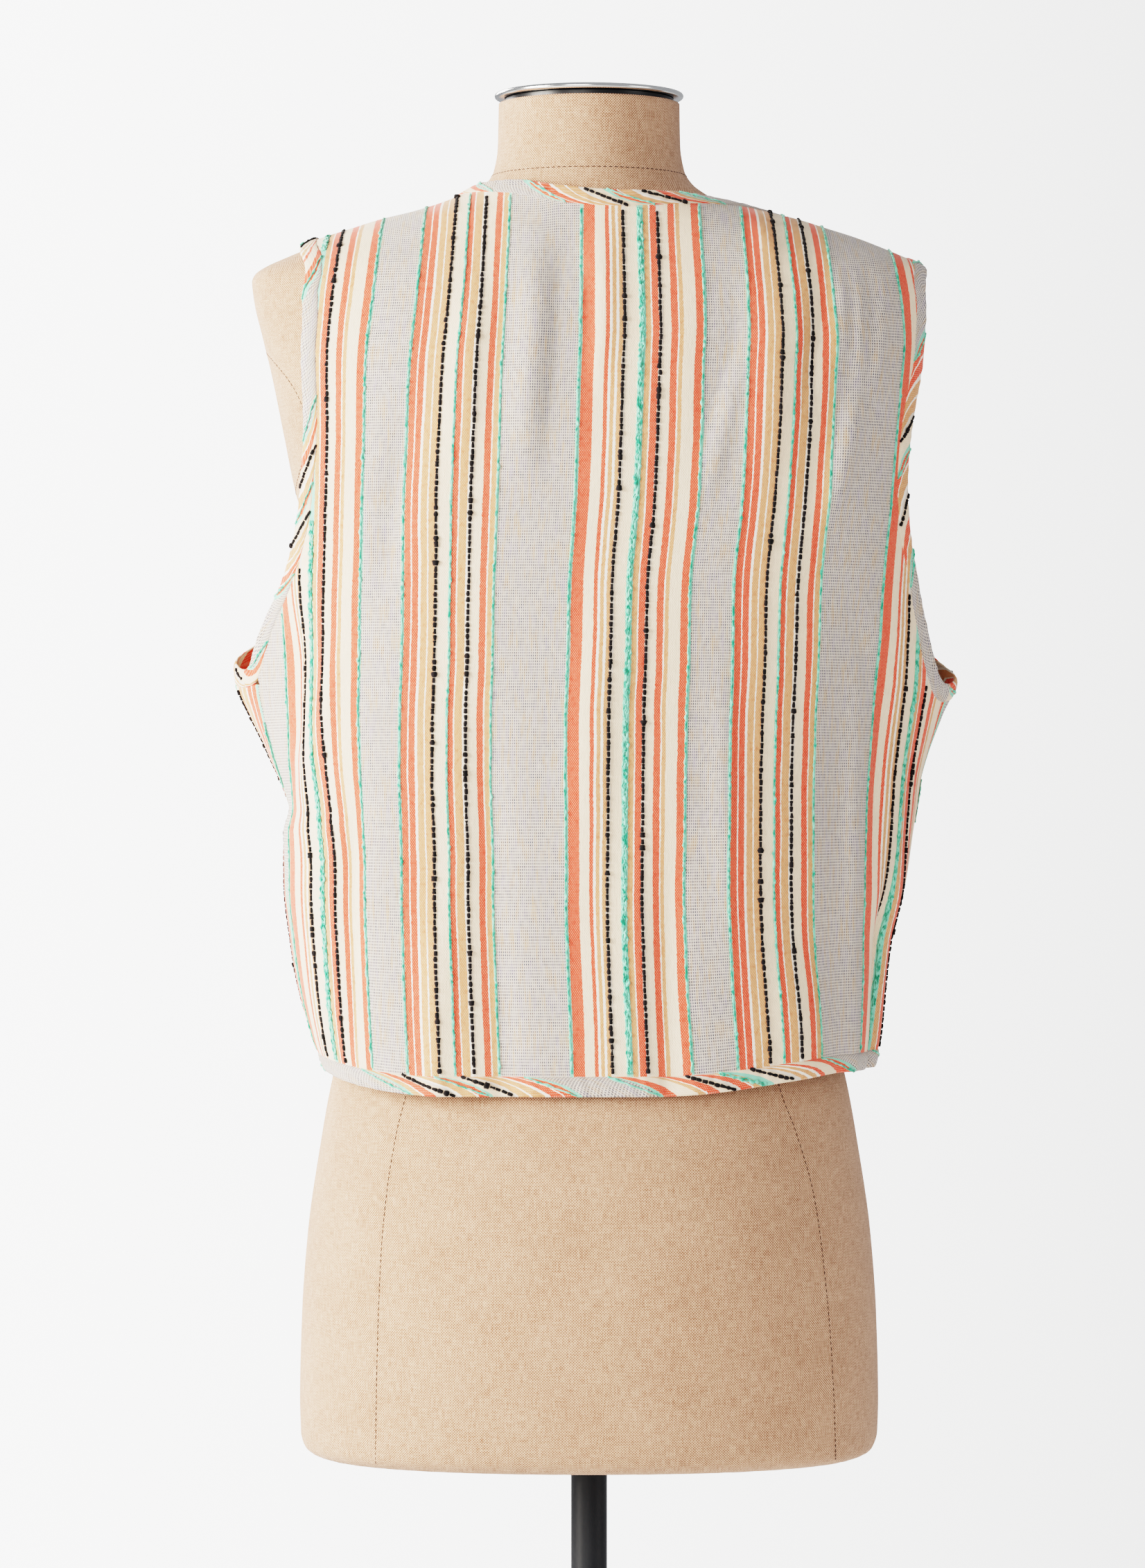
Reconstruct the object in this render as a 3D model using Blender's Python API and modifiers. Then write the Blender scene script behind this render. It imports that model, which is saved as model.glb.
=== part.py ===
"""A striped sleeveless vest worn by a linen-covered dress form on a pole and a round base.

Metres, +Z up. The origin is on the floor under the pole. The vest's back faces -Y and its front
faces +Y. Tables below are in millimetres, as a maker would write them.
"""

import bmesh
import bpy
import numpy as np

MM = 0.001

# Cloth and seams
CLOTH_THICKNESS = 1.2
BINDING_THICKNESS = 2.4
BINDING_WIDTH = 11.0
BINDING_INSIDE = 0.6
SEAM_GAP = 0.3
HEM_HEIGHT = 926.0

# The hem hangs lower over a stretch of the back: its depth, and the stretch in degrees round the body
HEM_DIP = 12.0
HEM_DIP_TOP = 1080.0
HEM_DIP_MIDDLE = -8.0
HEM_DIP_REACH = 66.0
HEM_DIP_FALL = 45.0
FLARE_REACH = 26.0

# Stand
POLE_RADIUS = 10.65
SOCKET_CLEARANCE = 0.35
SOCKET_DEPTH = 60.0
BASE_RADIUS = 170.0
COLLAR_TOP = 52.0
COLLAR_FLOOR = 6.0

# The dress form: one row for each level section, bottom to top
FORM_COLUMNS = ("height", "half_width", "back", "front", "power")
FORM_SECTIONS = (
    (697.0, 158.0, 101.0, 95.0, 2.25),
    (699.5, 164.5, 107.0, 101.0, 2.25),
    (704.0, 168.3, 111.5, 104.5, 2.25),
    (712.0, 170.2, 114.5, 107.0, 2.25),
    (730.0, 170.8, 118.0, 109.0, 2.25),
    (780.0, 169.6, 123.0, 113.0, 2.25),
    (830.0, 166.0, 122.0, 113.0, 2.25),
    (880.0, 158.8, 114.0, 108.5, 2.25),
    (920.0, 151.5, 103.5, 101.5, 2.25),
    (970.0, 137.0, 88.0, 95.0, 2.25),
    (1020.0, 124.5, 80.5, 90.0, 2.25),
    (1050.0, 121.0, 79.0, 89.5, 2.25),
    (1090.0, 126.0, 83.0, 98.0, 2.25),
    (1130.0, 134.0, 88.0, 112.0, 2.25),
    (1170.0, 142.0, 93.0, 126.0, 2.25),
    (1200.0, 149.0, 97.0, 130.0, 2.25),
    (1230.0, 159.0, 99.5, 124.0, 2.3),
    (1260.0, 172.0, 101.0, 113.0, 2.4),
    (1300.0, 180.5, 99.5, 97.0, 2.5),
    (1334.0, 187.4, 94.0, 84.0, 2.5),
    (1357.0, 193.0, 88.5, 76.0, 2.4),
    (1378.0, 198.0, 82.0, 69.5, 2.3),
    (1390.0, 199.3, 77.5, 66.0, 2.2),
    (1394.0, 197.5, 76.0, 65.0, 2.15),
    (1398.0, 192.0, 74.5, 64.0, 2.1),
    (1403.5, 180.0, 72.5, 62.5, 2.05),
    (1408.5, 168.0, 71.0, 61.5, 2.0),
    (1413.0, 156.0, 69.5, 60.5, 2.0),
    (1418.0, 140.0, 67.5, 59.5, 2.0),
    (1423.0, 124.0, 66.0, 59.0, 2.0),
    (1427.0, 107.0, 64.5, 58.5, 2.0),
    (1431.5, 91.5, 63.0, 58.0, 2.0),
    (1436.5, 78.0, 61.5, 57.5, 2.0),
    (1442.0, 68.0, 60.0, 57.0, 2.0),
    (1447.0, 61.5, 58.5, 56.5, 2.0),
    (1455.0, 56.5, 56.0, 55.0, 2.0),
    (1470.0, 54.0, 54.0, 54.0, 2.0),
    (1495.0, 53.5, 53.5, 53.5, 2.0),
)
NECK_TOP = FORM_SECTIONS[-1][0]
FORM_BOTTOM = FORM_SECTIONS[0][0]

# The vest below its shoulders; above them it follows the form's own sections
VEST_COLUMNS = (
    "height", "left", "right", "back", "front",
    "power_left", "power_right", "flare_left", "flare_right", "grain",
)
VEST_SECTIONS = (
    (900.0, 153.5, 162.0, 111.5, 131.0, 3.0, 2.5, 0.0, 0.0, 14.0),
    (917.0, 153.5, 163.5, 111.0, 131.5, 3.0, 2.5, 0.0, 0.0, 14.0),
    (945.0, 163.5, 168.5, 110.5, 132.5, 3.0, 2.5, 0.0, 0.0, 13.0),
    (975.0, 171.5, 171.5, 110.0, 134.0, 3.1, 2.4, 0.0, 0.0, 12.0),
    (1000.0, 175.5, 174.0, 109.5, 135.0, 3.2, 2.35, 0.0, 1.0, 11.0),
    (1035.0, 179.0, 183.0, 108.5, 136.0, 3.3, 2.3, 0.0, 3.0, 10.0),
    (1065.0, 178.5, 186.0, 108.0, 136.5, 3.3, 2.25, 0.5, 4.5, 10.0),
    (1079.0, 174.5, 187.2, 107.7, 136.8, 3.3, 2.2, 1.5, 5.5, 10.0),
    (1095.0, 176.0, 188.5, 107.5, 137.0, 3.3, 2.2, 5.5, 6.5, 10.0),
    (1112.0, 179.0, 191.0, 107.0, 137.0, 3.2, 2.15, 10.0, 8.7, 10.5),
    (1134.0, 179.5, 196.0, 106.8, 137.0, 3.1, 2.1, 20.0, 12.0, 11.0),
    (1154.0, 180.0, 199.5, 106.5, 136.5, 3.0, 2.1, 28.0, 16.5, 12.0),
    (1180.0, 181.5, 200.0, 106.0, 135.5, 2.9, 2.2, 26.0, 13.0, 13.0),
    (1200.0, 183.5, 199.0, 105.5, 133.5, 2.8, 2.3, 18.0, 8.0, 13.5),
    (1230.0, 185.5, 197.0, 104.5, 128.0, 2.7, 2.5, 8.0, 3.0, 14.5),
    (1260.0, 187.0, 196.5, 103.4, 116.5, 2.7, 2.6, 2.0, 0.5, 15.5),
    (1300.0, 189.0, 198.0, 101.2, 99.8, 2.6, 2.6, 0.0, 0.0, 17.0),
    (1334.0, 192.5, 200.5, 96.0, 86.0, 2.55, 2.55, 0.0, 0.0, 18.0),
    (1357.0, 196.0, 202.0, 90.3, 77.8, 2.45, 2.45, 0.0, 0.0, 19.0),
    (1378.0, 199.8, 202.8, 83.8, 71.2, 2.35, 2.35, 0.0, 0.0, 19.0),
)
# Above this height the vest follows the form's sections, moved out by the lift
SHOULDER_START = 1390.0
CLOTH_LIFT = 1.5
SHOULDER_GRAIN = 17.0

# Soft folds: the cloth moves out (+) or in (-) by depth, on a line between two heights.
# u is the distance along the cloth from the middle of the back, to the right.
FOLD_COLUMNS = ("u_low", "u_high", "low", "high", "half_width", "depth")
FOLDS = (
    (190.0, 186.0, 880.0, 1060.0, 8.0, -9.0),
    (133.0, 140.0, 930.0, 1230.0, 9.0, -2.2),
    (-200.0, -196.0, 1080.0, 1215.0, 13.0, -5.5),
    (84.0, 92.0, 1250.0, 1400.0, 17.0, 3.0),
    (56.0, 60.0, 1230.0, 1420.0, 12.0, -2.4),
    (-34.0, -28.0, 1240.0, 1436.0, 16.0, -2.6),
    (-222.0, -230.0, 890.0, 1070.0, 14.0, -5.0),
    (116.0, 108.0, 890.0, 1010.0, 16.0, 3.0),
    (-330.0, -322.0, 890.0, 1210.0, 18.0, 4.5),
    (-378.0, -372.0, 890.0, 1130.0, 14.0, -3.5),
    (318.0, 312.0, 890.0, 1200.0, 17.0, 4.0),
    (362.0, 358.0, 890.0, 1120.0, 15.0, -3.5),
)

# Edges of the cloth in the order they are bound. The face "ridge" is the shoulder line or the side.
EDGE_COLUMNS = ("face", "x", "height")
LEFT_ARMHOLE = (
    ("back", -201.0, 1161.0),
    ("back", -195.5, 1176.0),
    ("back", -187.0, 1195.0),
    ("back", -176.5, 1217.0),
    ("back", -169.5, 1245.0),
    ("back", -166.5, 1275.0),
    ("back", -165.5, 1310.0),
    ("back", -167.0, 1345.0),
    ("back", -166.8, 1376.0),
    ("back", -166.5, 1398.0),
    ("ridge", -166.0, 1410.0),
    ("front", -163.0, 1397.0),
    ("front", -155.0, 1366.0),
    ("front", -149.0, 1332.0),
    ("front", -149.0, 1296.0),
    ("front", -155.0, 1260.0),
    ("front", -166.0, 1226.0),
    ("front", -181.0, 1199.0),
    ("front", -194.0, 1179.0),
    ("ridge", -208.0, 1166.0),
)
RIGHT_ARMHOLE = (
    ("back", 208.0, 1153.0),
    ("back", 201.0, 1170.0),
    ("back", 196.0, 1190.0),
    ("back", 191.0, 1214.0),
    ("back", 186.0, 1243.0),
    ("back", 184.8, 1272.0),
    ("back", 188.0, 1305.0),
    ("back", 194.0, 1338.0),
    ("back", 196.5, 1366.0),
    ("back", 196.5, 1386.0),
    ("ridge", 195.0, 1397.5),
    ("front", 186.0, 1386.0),
    ("front", 175.0, 1358.0),
    ("front", 168.0, 1325.0),
    ("front", 167.0, 1290.0),
    ("front", 172.0, 1254.0),
    ("front", 182.0, 1220.0),
    ("front", 194.0, 1192.0),
    ("front", 204.0, 1170.0),
    ("ridge", 214.0, 1156.5),
)
NECK_AND_FRONT_EDGE = (
    ("front", -16.0, 926.0),
    ("front", -14.0, 990.0),
    ("front", -12.0, 1070.0),
    ("front", -11.0, 1150.0),
    ("front", -10.0, 1220.0),
    ("front", -9.0, 1280.0),
    ("front", -13.0, 1322.0),
    ("front", -29.0, 1360.0),
    ("front", -48.0, 1398.0),
    ("front", -60.0, 1425.0),
    ("ridge", -66.0, 1443.0),
    ("back", -45.0, 1445.0),
    ("back", -20.0, 1441.0),
    ("back", 10.0, 1438.0),
    ("back", 45.0, 1437.5),
    ("back", 72.0, 1435.5),
    ("ridge", 100.0, 1429.5),
    ("front", 91.0, 1412.0),
    ("front", 78.0, 1390.0),
    ("front", 60.0, 1357.0),
    ("front", 44.0, 1322.0),
    ("front", 38.0, 1280.0),
    ("front", 38.0, 1220.0),
    ("front", 39.0, 1150.0),
    ("front", 41.0, 1070.0),
    ("front", 43.0, 990.0),
    ("front", 45.0, 926.0),
)

# How finely the edges, panels and form are divided, and rows near the armholes' feet and crowns
EDGE_POINTS = 400
BACK_COLUMNS = 26
FRONT_COLUMNS = 13
BODY_ROWS = 11
ARMHOLE_ROWS = 10
SHOULDER_ROWS = 8
FOOT_ROWS = (2.5, 7.0, 15.0)
CROWN_ROWS = (1.4, 4.0, 8.0, 13.0)
ROW_CLEARANCE = 1.2

# A front ends this far below the point where its seam meets the neck
PANEL_POINT = 2.0
NECK_SPAN = 105.0
FORM_COLUMNS_ROUND = 40
FORM_ROW_STEP = 40.0

# The surface is worked out on a lattice of angle round the body and height
LATTICE_ANGLES = np.radians(np.arange(-180.0, 180.5, 0.5))
LATTICE_HEIGHTS = np.arange(900.0, 1451.0, 1.0)

COLOURS = {
    "cloth": ((0.80, 0.72, 0.62), 0.85, 0.0),
    "binding": ((0.78, 0.60, 0.50), 0.85, 0.0),
    "linen": ((0.62, 0.48, 0.36), 0.9, 0.0),
    "polished_steel": ((0.80, 0.80, 0.80), 0.15, 1.0),
    "black_steel": ((0.02, 0.02, 0.025), 0.35, 0.0),
}


def clear_scene():
    for scene_object in list(bpy.data.objects):
        bpy.data.objects.remove(scene_object)


def new_collection(name, hidden=False):
    collection = bpy.data.collections.new(name)
    bpy.context.scene.collection.children.link(collection)
    collection.hide_render = hidden
    return collection


def material(name):
    """A Principled material from the colour table."""
    made = bpy.data.materials.get(name)
    if made:
        return made
    made = bpy.data.materials.new(name)
    made.use_nodes = True
    colour, roughness, metallic = COLOURS[name]
    shader = made.node_tree.nodes["Principled BSDF"]
    shader.inputs["Base Color"].default_value = (*colour, 1.0)
    shader.inputs["Roughness"].default_value = roughness
    shader.inputs["Metallic"].default_value = metallic
    return made


def smooth_rows(heights, values, at):
    """A smooth curve through the table's rows that never overshoots them."""
    steps = np.diff(values) / np.diff(heights)
    before, after = steps[:-1], steps[1:]
    same_way = before * after > 0
    total = np.where(same_way, before + after, 1.0)
    slopes = np.concatenate((steps[:1], np.where(same_way, 2 * before * after / total, 0.0), steps[-1:]))
    row = np.clip(np.searchsorted(heights, at) - 1, 0, len(heights) - 2)
    span = heights[row + 1] - heights[row]
    t = np.clip((at - heights[row]) / span, 0.0, 1.0)
    start = values[row] * (2 * t**3 - 3 * t**2 + 1) + slopes[row] * span * (t**3 - 2 * t**2 + t)
    end = values[row + 1] * (3 * t**2 - 2 * t**3) + slopes[row + 1] * span * (t**3 - t**2)
    return start + end


def section_columns(columns, rows, at):
    """Every column of a section table, read at the heights asked for."""
    table = np.array(rows)
    return {name: smooth_rows(table[:, 0], table[:, i], at) for i, name in enumerate(columns)}


def level_section(angle, half_width, depth, power):
    """A point on a superellipse, in the direction angle, where 0 is the back and +90 the right side."""
    sine, cosine = np.sin(angle), np.cos(angle)
    reach = (np.abs(sine) ** power + np.abs(cosine) ** power) ** (-1.0 / power)
    return half_width * sine * reach, -depth * cosine * reach


def form_points(angle, height):
    row = section_columns(FORM_COLUMNS, FORM_SECTIONS, height)
    depth = np.where(np.cos(angle) > 0, row["back"], row["front"])
    x, y = level_section(angle, row["half_width"], depth, row["power"])
    return np.stack((x, y, height + 0 * angle), axis=-1)


def vest_rows():
    """The vest's table, carried over the shoulders on the form's sections, moved out by the lift."""
    rows = list(VEST_SECTIONS)
    for height, half_width, back, front, power in FORM_SECTIONS:
        if SHOULDER_START <= height < 1450.0:
            sides = half_width + CLOTH_LIFT
            rows.append((height + CLOTH_LIFT, sides, sides, back + CLOTH_LIFT + 0.4, front + CLOTH_LIFT + 0.4,
                         power, power, 0.0, 0.0, SHOULDER_GRAIN))
    return tuple(rows)


class VestSurface:
    """The vest as one surface of angle and height, with the distance u along the cloth from mid back."""

    def __init__(self):
        angle, height = np.meshgrid(LATTICE_ANGLES, LATTICE_HEIGHTS)
        row = section_columns(VEST_COLUMNS, vest_rows(), height)
        right_side = angle > 0
        behind = np.cos(angle) > 0
        half_width = np.where(right_side, row["right"], row["left"])
        power = np.where(right_side, row["power_right"], row["power_left"])
        power = np.where(behind, power, 2.25)
        x, y = level_section(angle, half_width, np.where(behind, row["back"], row["front"]), power)
        flare = np.where(right_side, row["flare_right"], -row["flare_left"])
        x = x + flare * np.exp(-((y / FLARE_REACH) ** 2))
        along = np.concatenate((np.zeros((len(x), 1)), np.cumsum(np.hypot(np.diff(x), np.diff(y)), axis=1)), axis=1)
        mid_back = slice(len(LATTICE_ANGLES) // 4, 3 * len(LATTICE_ANGLES) // 4)
        origin = [np.interp(g, xs[mid_back], ss[mid_back]) for g, xs, ss in zip(row["grain"][:, 0], x, along)]
        self.u = along - np.array(origin)[:, None]
        tangent_x, tangent_y = np.gradient(x, axis=1), np.gradient(y, axis=1)
        length = np.hypot(tangent_x, tangent_y)
        push = self.fold_push(height)
        x = x + push * tangent_y / length
        y = y - push * tangent_x / length
        self.x, self.y = self.laid_on_form(x, y)

    def laid_on_form(self, x, y):
        """Each section again, moved out to clear the form by the lift where it would come nearer."""
        place = form_points(*np.meshgrid(LATTICE_ANGLES, np.minimum(LATTICE_HEIGHTS, NECK_TOP)))
        bearing = np.arctan2(place[..., 0], -place[..., 1])
        reach = np.hypot(place[..., 0], place[..., 1])
        toward = np.arctan2(x, -y)
        needed = np.array([np.interp(t, b, r) for t, b, r in zip(toward, bearing, reach)]) + CLOTH_LIFT
        grow = np.maximum(1.0, needed / np.hypot(x, y))
        return x * grow, y * grow

    def fold_push(self, height):
        """The sum of all folds: a bell across the cloth times a soft start and end in height."""
        push = np.zeros_like(self.u)
        for u_low, u_high, low, high, half_width, depth in FOLDS:
            t = np.clip((height - low) / (high - low), 0.0, 1.0)
            line = u_low + (u_high - u_low) * t
            ends_on_hem = low < HEM_HEIGHT
            fade = np.clip((1.0 - t) * 2.5, 0.0, 1.0) * (1.0 if ends_on_hem else np.clip(t * 2.5, 0.0, 1.0))
            push += depth * np.exp(-(((self.u - line) / half_width) ** 2)) * fade * fade * (3 - 2 * fade)
        return push

    def read(self, field, angle, height):
        """Reads a lattice field between its points."""
        column = (angle - LATTICE_ANGLES[0]) / (LATTICE_ANGLES[1] - LATTICE_ANGLES[0])
        row = height - LATTICE_HEIGHTS[0]
        i = np.clip(row.astype(int), 0, field.shape[0] - 2)
        j = np.clip(column.astype(int), 0, field.shape[1] - 2)
        s, t = row - i, column - j
        low = field[i, j] * (1 - t) + field[i, j + 1] * t
        high = field[i + 1, j] * (1 - t) + field[i + 1, j + 1] * t
        return low * (1 - s) + high * s

    def points(self, angle, height):
        """Places on the surface. The hem hangs a little lower at mid back than at the sides."""
        angle, height = np.broadcast_arrays(np.asarray(angle, float), np.asarray(height, float))
        fade = np.clip((HEM_DIP_TOP - height) / (HEM_DIP_TOP - HEM_HEIGHT), 0.0, 1.0)
        beside = np.clip((HEM_DIP_REACH - np.abs(np.degrees(angle) - HEM_DIP_MIDDLE)) / HEM_DIP_FALL, 0.0, 1.0)
        dip = HEM_DIP * fade * beside * beside * (3 - 2 * beside)
        return np.stack((self.read(self.x, angle, height), self.read(self.y, angle, height), height - dip), axis=-1)

    def directions(self, angle, height):
        """How a place moves for each radian round the body and for each millimetre up."""
        step_angle, step_height = 0.03, 3.0
        round_body = self.points(angle + step_angle, height) - self.points(angle - step_angle, height)
        up_body = self.points(angle, height + step_height) - self.points(angle, height - step_height)
        return round_body / (2 * step_angle), up_body / (2 * step_height)

    def raised(self, angle, height, distance):
        """Places moved out of the surface, square to it, by a distance."""
        round_body, up_body = self.directions(angle, height)
        normal = np.cross(round_body, up_body)
        return self.points(angle, height) + distance * normal / np.linalg.norm(normal, axis=-1, keepdims=True)

    def row_fields(self, height):
        at = np.full(len(LATTICE_ANGLES), float(height))
        return self.read(self.x, LATTICE_ANGLES, at), self.read(self.u, LATTICE_ANGLES, at)

    def angle_at_x(self, face, x, height):
        """The angle where the section at this height passes x, on its back or its front."""
        if face == "ridge":
            return np.pi / 2 if x > 0 else -np.pi / 2
        xs, _ = self.row_fields(height)
        quarter = len(LATTICE_ANGLES) // 4
        if face == "back":
            span = slice(quarter, 3 * quarter + 1)
            return float(np.interp(x, xs[span], LATTICE_ANGLES[span]))
        span = slice(3 * quarter, None) if x > 0 else slice(0, quarter + 1)
        return float(np.interp(-x, -xs[span], LATTICE_ANGLES[span]))

    def front_angle(self, x, height, side):
        """As angle_at_x on the front, on the side named, so that x may pass the middle."""
        xs, _ = self.row_fields(height)
        quarter = len(LATTICE_ANGLES) // 4
        span = slice(3 * quarter, None) if side > 0 else slice(0, quarter + 1)
        return float(np.interp(-x, -xs[span], LATTICE_ANGLES[span]))

    def angles_between(self, first, last, height, count):
        """Angles at even steps of cloth between two angles on one section."""
        _, along = self.row_fields(height)
        ends = np.interp((first, last), LATTICE_ANGLES, along)
        return np.interp(np.linspace(*ends, count), along, LATTICE_ANGLES)

    def move_aside(self, path, distance, closed):
        """A path of (angle, height) moved sideways over the cloth, to its right as seen from outside."""
        moved = np.array(path, float)
        steps = 4
        for _ in range(steps):
            places = self.points(moved[:, 0], moved[:, 1])
            if closed:
                tangent = np.roll(places, -1, axis=0) - np.roll(places, 1, axis=0)
            else:
                tangent = np.gradient(places, axis=0)
            round_body, up_body = self.directions(moved[:, 0], moved[:, 1])
            aside = np.cross(tangent, np.cross(round_body, up_body))
            aside *= distance / steps / np.linalg.norm(aside, axis=1, keepdims=True)
            rr, ru, uu = (np.sum(p * q, axis=1) for p, q in
                          ((round_body, round_body), (round_body, up_body), (up_body, up_body)))
            ra, ua = np.sum(round_body * aside, axis=1), np.sum(up_body * aside, axis=1)
            moved[:, 0] += (ra * uu - ua * ru) / (rr * uu - ru * ru)
            moved[:, 1] += (ua * rr - ra * ru) / (rr * uu - ru * ru)
        return moved


def curve_through(knots, count, closed):
    """A Catmull-Rom curve through the knots, read at even steps of its length."""
    knots = np.array(knots, float)
    if closed:
        knots = np.vstack((knots[-1:], knots, knots[:2]))
    else:
        knots = np.vstack((2 * knots[0] - knots[1], knots, 2 * knots[-1] - knots[-2]))
    fine = []
    t = np.linspace(0.0, 1.0, 24, endpoint=False)[:, None]
    for a, b, c, d in zip(knots[:-3], knots[1:-2], knots[2:-1], knots[3:]):
        fine.append(0.5 * (2 * b + (c - a) * t + (2 * a - 5 * b + 4 * c - d) * t**2 + (3 * b - a - 3 * c + d) * t**3))
    fine = np.vstack((*fine, knots[-2:-1]))
    scaled = fine * np.array((120.0, 1.0))
    length = np.concatenate(([0.0], np.cumsum(np.linalg.norm(np.diff(scaled, axis=0), axis=1))))
    at = np.linspace(0.0, length[-1], count + 1)[:-1] if closed else np.linspace(0.0, length[-1], count)
    return np.stack([np.interp(at, length, fine[:, i]) for i in range(2)], axis=1)


def read_path(path, at):
    """A path read at fractional places in its list of points."""
    return np.stack([np.interp(at, np.arange(len(path)), path[:, i]) for i in range(2)], axis=1)


class Armhole:
    """One armhole: its edge, its stitch line inside the edge, and where each panel's rows meet that line."""

    def __init__(self, surface, knots, side):
        self.side = side
        placed = [(surface.angle_at_x(face, x, height), height) for face, x, height in knots]
        edge = curve_through(placed, EDGE_POINTS, closed=True)
        stitch = surface.move_aside(edge, -BINDING_WIDTH * side, closed=True)
        lowest = int(np.argmin(stitch[:, 1]))
        self.edge = np.roll(edge, -lowest, axis=0)[list(range(EDGE_POINTS)) + [0]]
        self.stitch = np.roll(stitch, -lowest, axis=0)[list(range(EDGE_POINTS)) + [0]]
        self.top = int(np.argmax(self.stitch[:, 1]))
        self.low, self.high = self.stitch[0, 1], self.stitch[self.top, 1]
        self.seam_u = float(surface.read(surface.u, self.stitch[:1, 0], self.stitch[:1, 1])[0])

    def meets(self, heights, face):
        """Where on the stitch line the rows at these heights meet its back or its front half."""
        half = np.arange(self.top + 1) if face == "back" else np.arange(EDGE_POINTS, self.top - 1, -1)
        return np.interp(heights, np.maximum.accumulate(self.stitch[half, 1]), half)

    def limit(self, surface, height, face):
        """The angle at which a panel ends on this side: on the side seam, the stitch line or the shoulder seam."""
        toward_panel = -self.side if face == "back" else self.side
        if self.low < height < self.high:
            return float(read_path(self.stitch, self.meets([height], face))[0, 0])
        _, along = surface.row_fields(height)
        u = self.seam_u if height <= self.low else np.interp(self.stitch[self.top, 0], LATTICE_ANGLES, along)
        return float(np.interp(u + toward_panel * SEAM_GAP / 2, along, LATTICE_ANGLES))

    def stations(self, back_rows, front_rows):
        """Places along the stitch line at both panels' rows, once round from its lowest point."""
        inside = [rows[(rows > self.low + 0.1) & (rows < self.high - 0.1)] for rows in (back_rows, front_rows)]
        back, front = self.meets(inside[0], "back"), self.meets(inside[1], "front")
        return np.concatenate(([0.0], back, [self.top], front[::-1], [EDGE_POINTS]))


class FrontEdge:
    """The bound edge that runs up the left front, round the back of the neck and down the right front."""

    def __init__(self, surface):
        placed = []
        for i, (face, x, height) in enumerate(NECK_AND_FRONT_EDGE):
            side = -1 if i < len(NECK_AND_FRONT_EDGE) // 2 else 1
            angle = surface.front_angle(x, height, side) if face == "front" else surface.angle_at_x(face, x, height)
            placed.append((angle, height))
        self.edge = curve_through(placed, EDGE_POINTS, closed=False)
        self.stitch = surface.move_aside(self.edge, BINDING_WIDTH, closed=False)
        self.behind = np.flatnonzero(np.abs(self.stitch[:, 0]) < np.pi / 2)
        self.round_neck = np.flatnonzero(np.abs(self.stitch[:, 0]) < np.radians(NECK_SPAN))

    def meets(self, heights, side):
        """Where on the stitch line the rows of a front at these heights meet it."""
        half = np.arange(self.behind[0] + 1) if side < 0 else np.arange(EDGE_POINTS - 1, self.behind[-1] - 1, -1)
        return np.interp(heights, np.maximum.accumulate(self.stitch[half, 1]), half)

    def neckline(self, angle):
        """The height of the stitch line round the back of the neck, and its place in the list of points."""
        angles, heights = self.stitch[self.round_neck].T
        return np.interp(angle, angles, heights), np.interp(angle, angles, self.round_neck)


def panel_rows(low_row, top, holes):
    """Row heights: even below and beside the armholes, closer at their feet and over the shoulders."""
    feet = [hole.low for hole in holes]
    fixed = [low_row, top] + feet + [hole.high for hole in holes]
    loose = list(np.linspace(low_row, min(feet), BODY_ROWS))
    for hole in holes:
        loose += [hole.low + rise for rise in FOOT_ROWS] + [hole.high - drop for drop in CROWN_ROWS]
    loose += list(np.linspace(max(feet) + 26.0, SHOULDER_START - 14.0, ARMHOLE_ROWS))
    loose += list(np.linspace(SHOULDER_START + 14.0, top, SHOULDER_ROWS))
    clear = [height for height in loose if min(abs(height - kept) for kept in fixed) > ROW_CLEARANCE]
    return np.array(sorted(height for height in fixed + clear if height <= top))


def wall(name, surface, angles, heights, low, high, kind, collection, closed=False):
    """A wall of cloth through rows and columns of places, from low to high above the surface.

    A closed wall's last column is its first one.
    """
    angles, heights = np.broadcast_arrays(angles, heights)
    rows, columns = angles.shape
    inner, outer = surface.raised(angles, heights, low), surface.raised(angles, heights, high)
    index = np.arange(rows * columns).reshape(rows, columns)
    if closed:
        index[:, -1] = index[:, 0]
    over = rows * columns

    def strip(a, b):
        return np.stack((a[:-1], a[1:], b[1:], b[:-1]), axis=-1).reshape(-1, 4)

    faces = [strip(index[i] + over, index[i + 1] + over) for i in range(rows - 1)]
    faces += [strip(index[i + 1], index[i]) for i in range(rows - 1)]
    faces += [strip(index[0], index[0] + over), strip(index[-1] + over, index[-1])]
    if not closed:
        faces += [strip(index[:, 0] + over, index[:, 0]), strip(index[:, -1], index[:, -1] + over)]
    work = bmesh.new()
    corners = [work.verts.new(place) for place in np.concatenate((inner, outer)).reshape(-1, 3) * MM]
    for face in np.concatenate(faces):
        work.faces.new([corners[i] for i in face])
    bmesh.ops.delete(work, geom=[corner for corner in corners if not corner.link_faces], context="VERTS")
    bmesh.ops.recalc_face_normals(work, faces=work.faces)
    mesh = bpy.data.meshes.new(name)
    work.to_mesh(mesh)
    work.free()
    mesh.materials.append(material(kind))
    mesh.shade_smooth()
    mesh.set_sharp_from_angle(angle=np.radians(50.0))
    collection.objects.link(bpy.data.objects.new(name, mesh))


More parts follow.
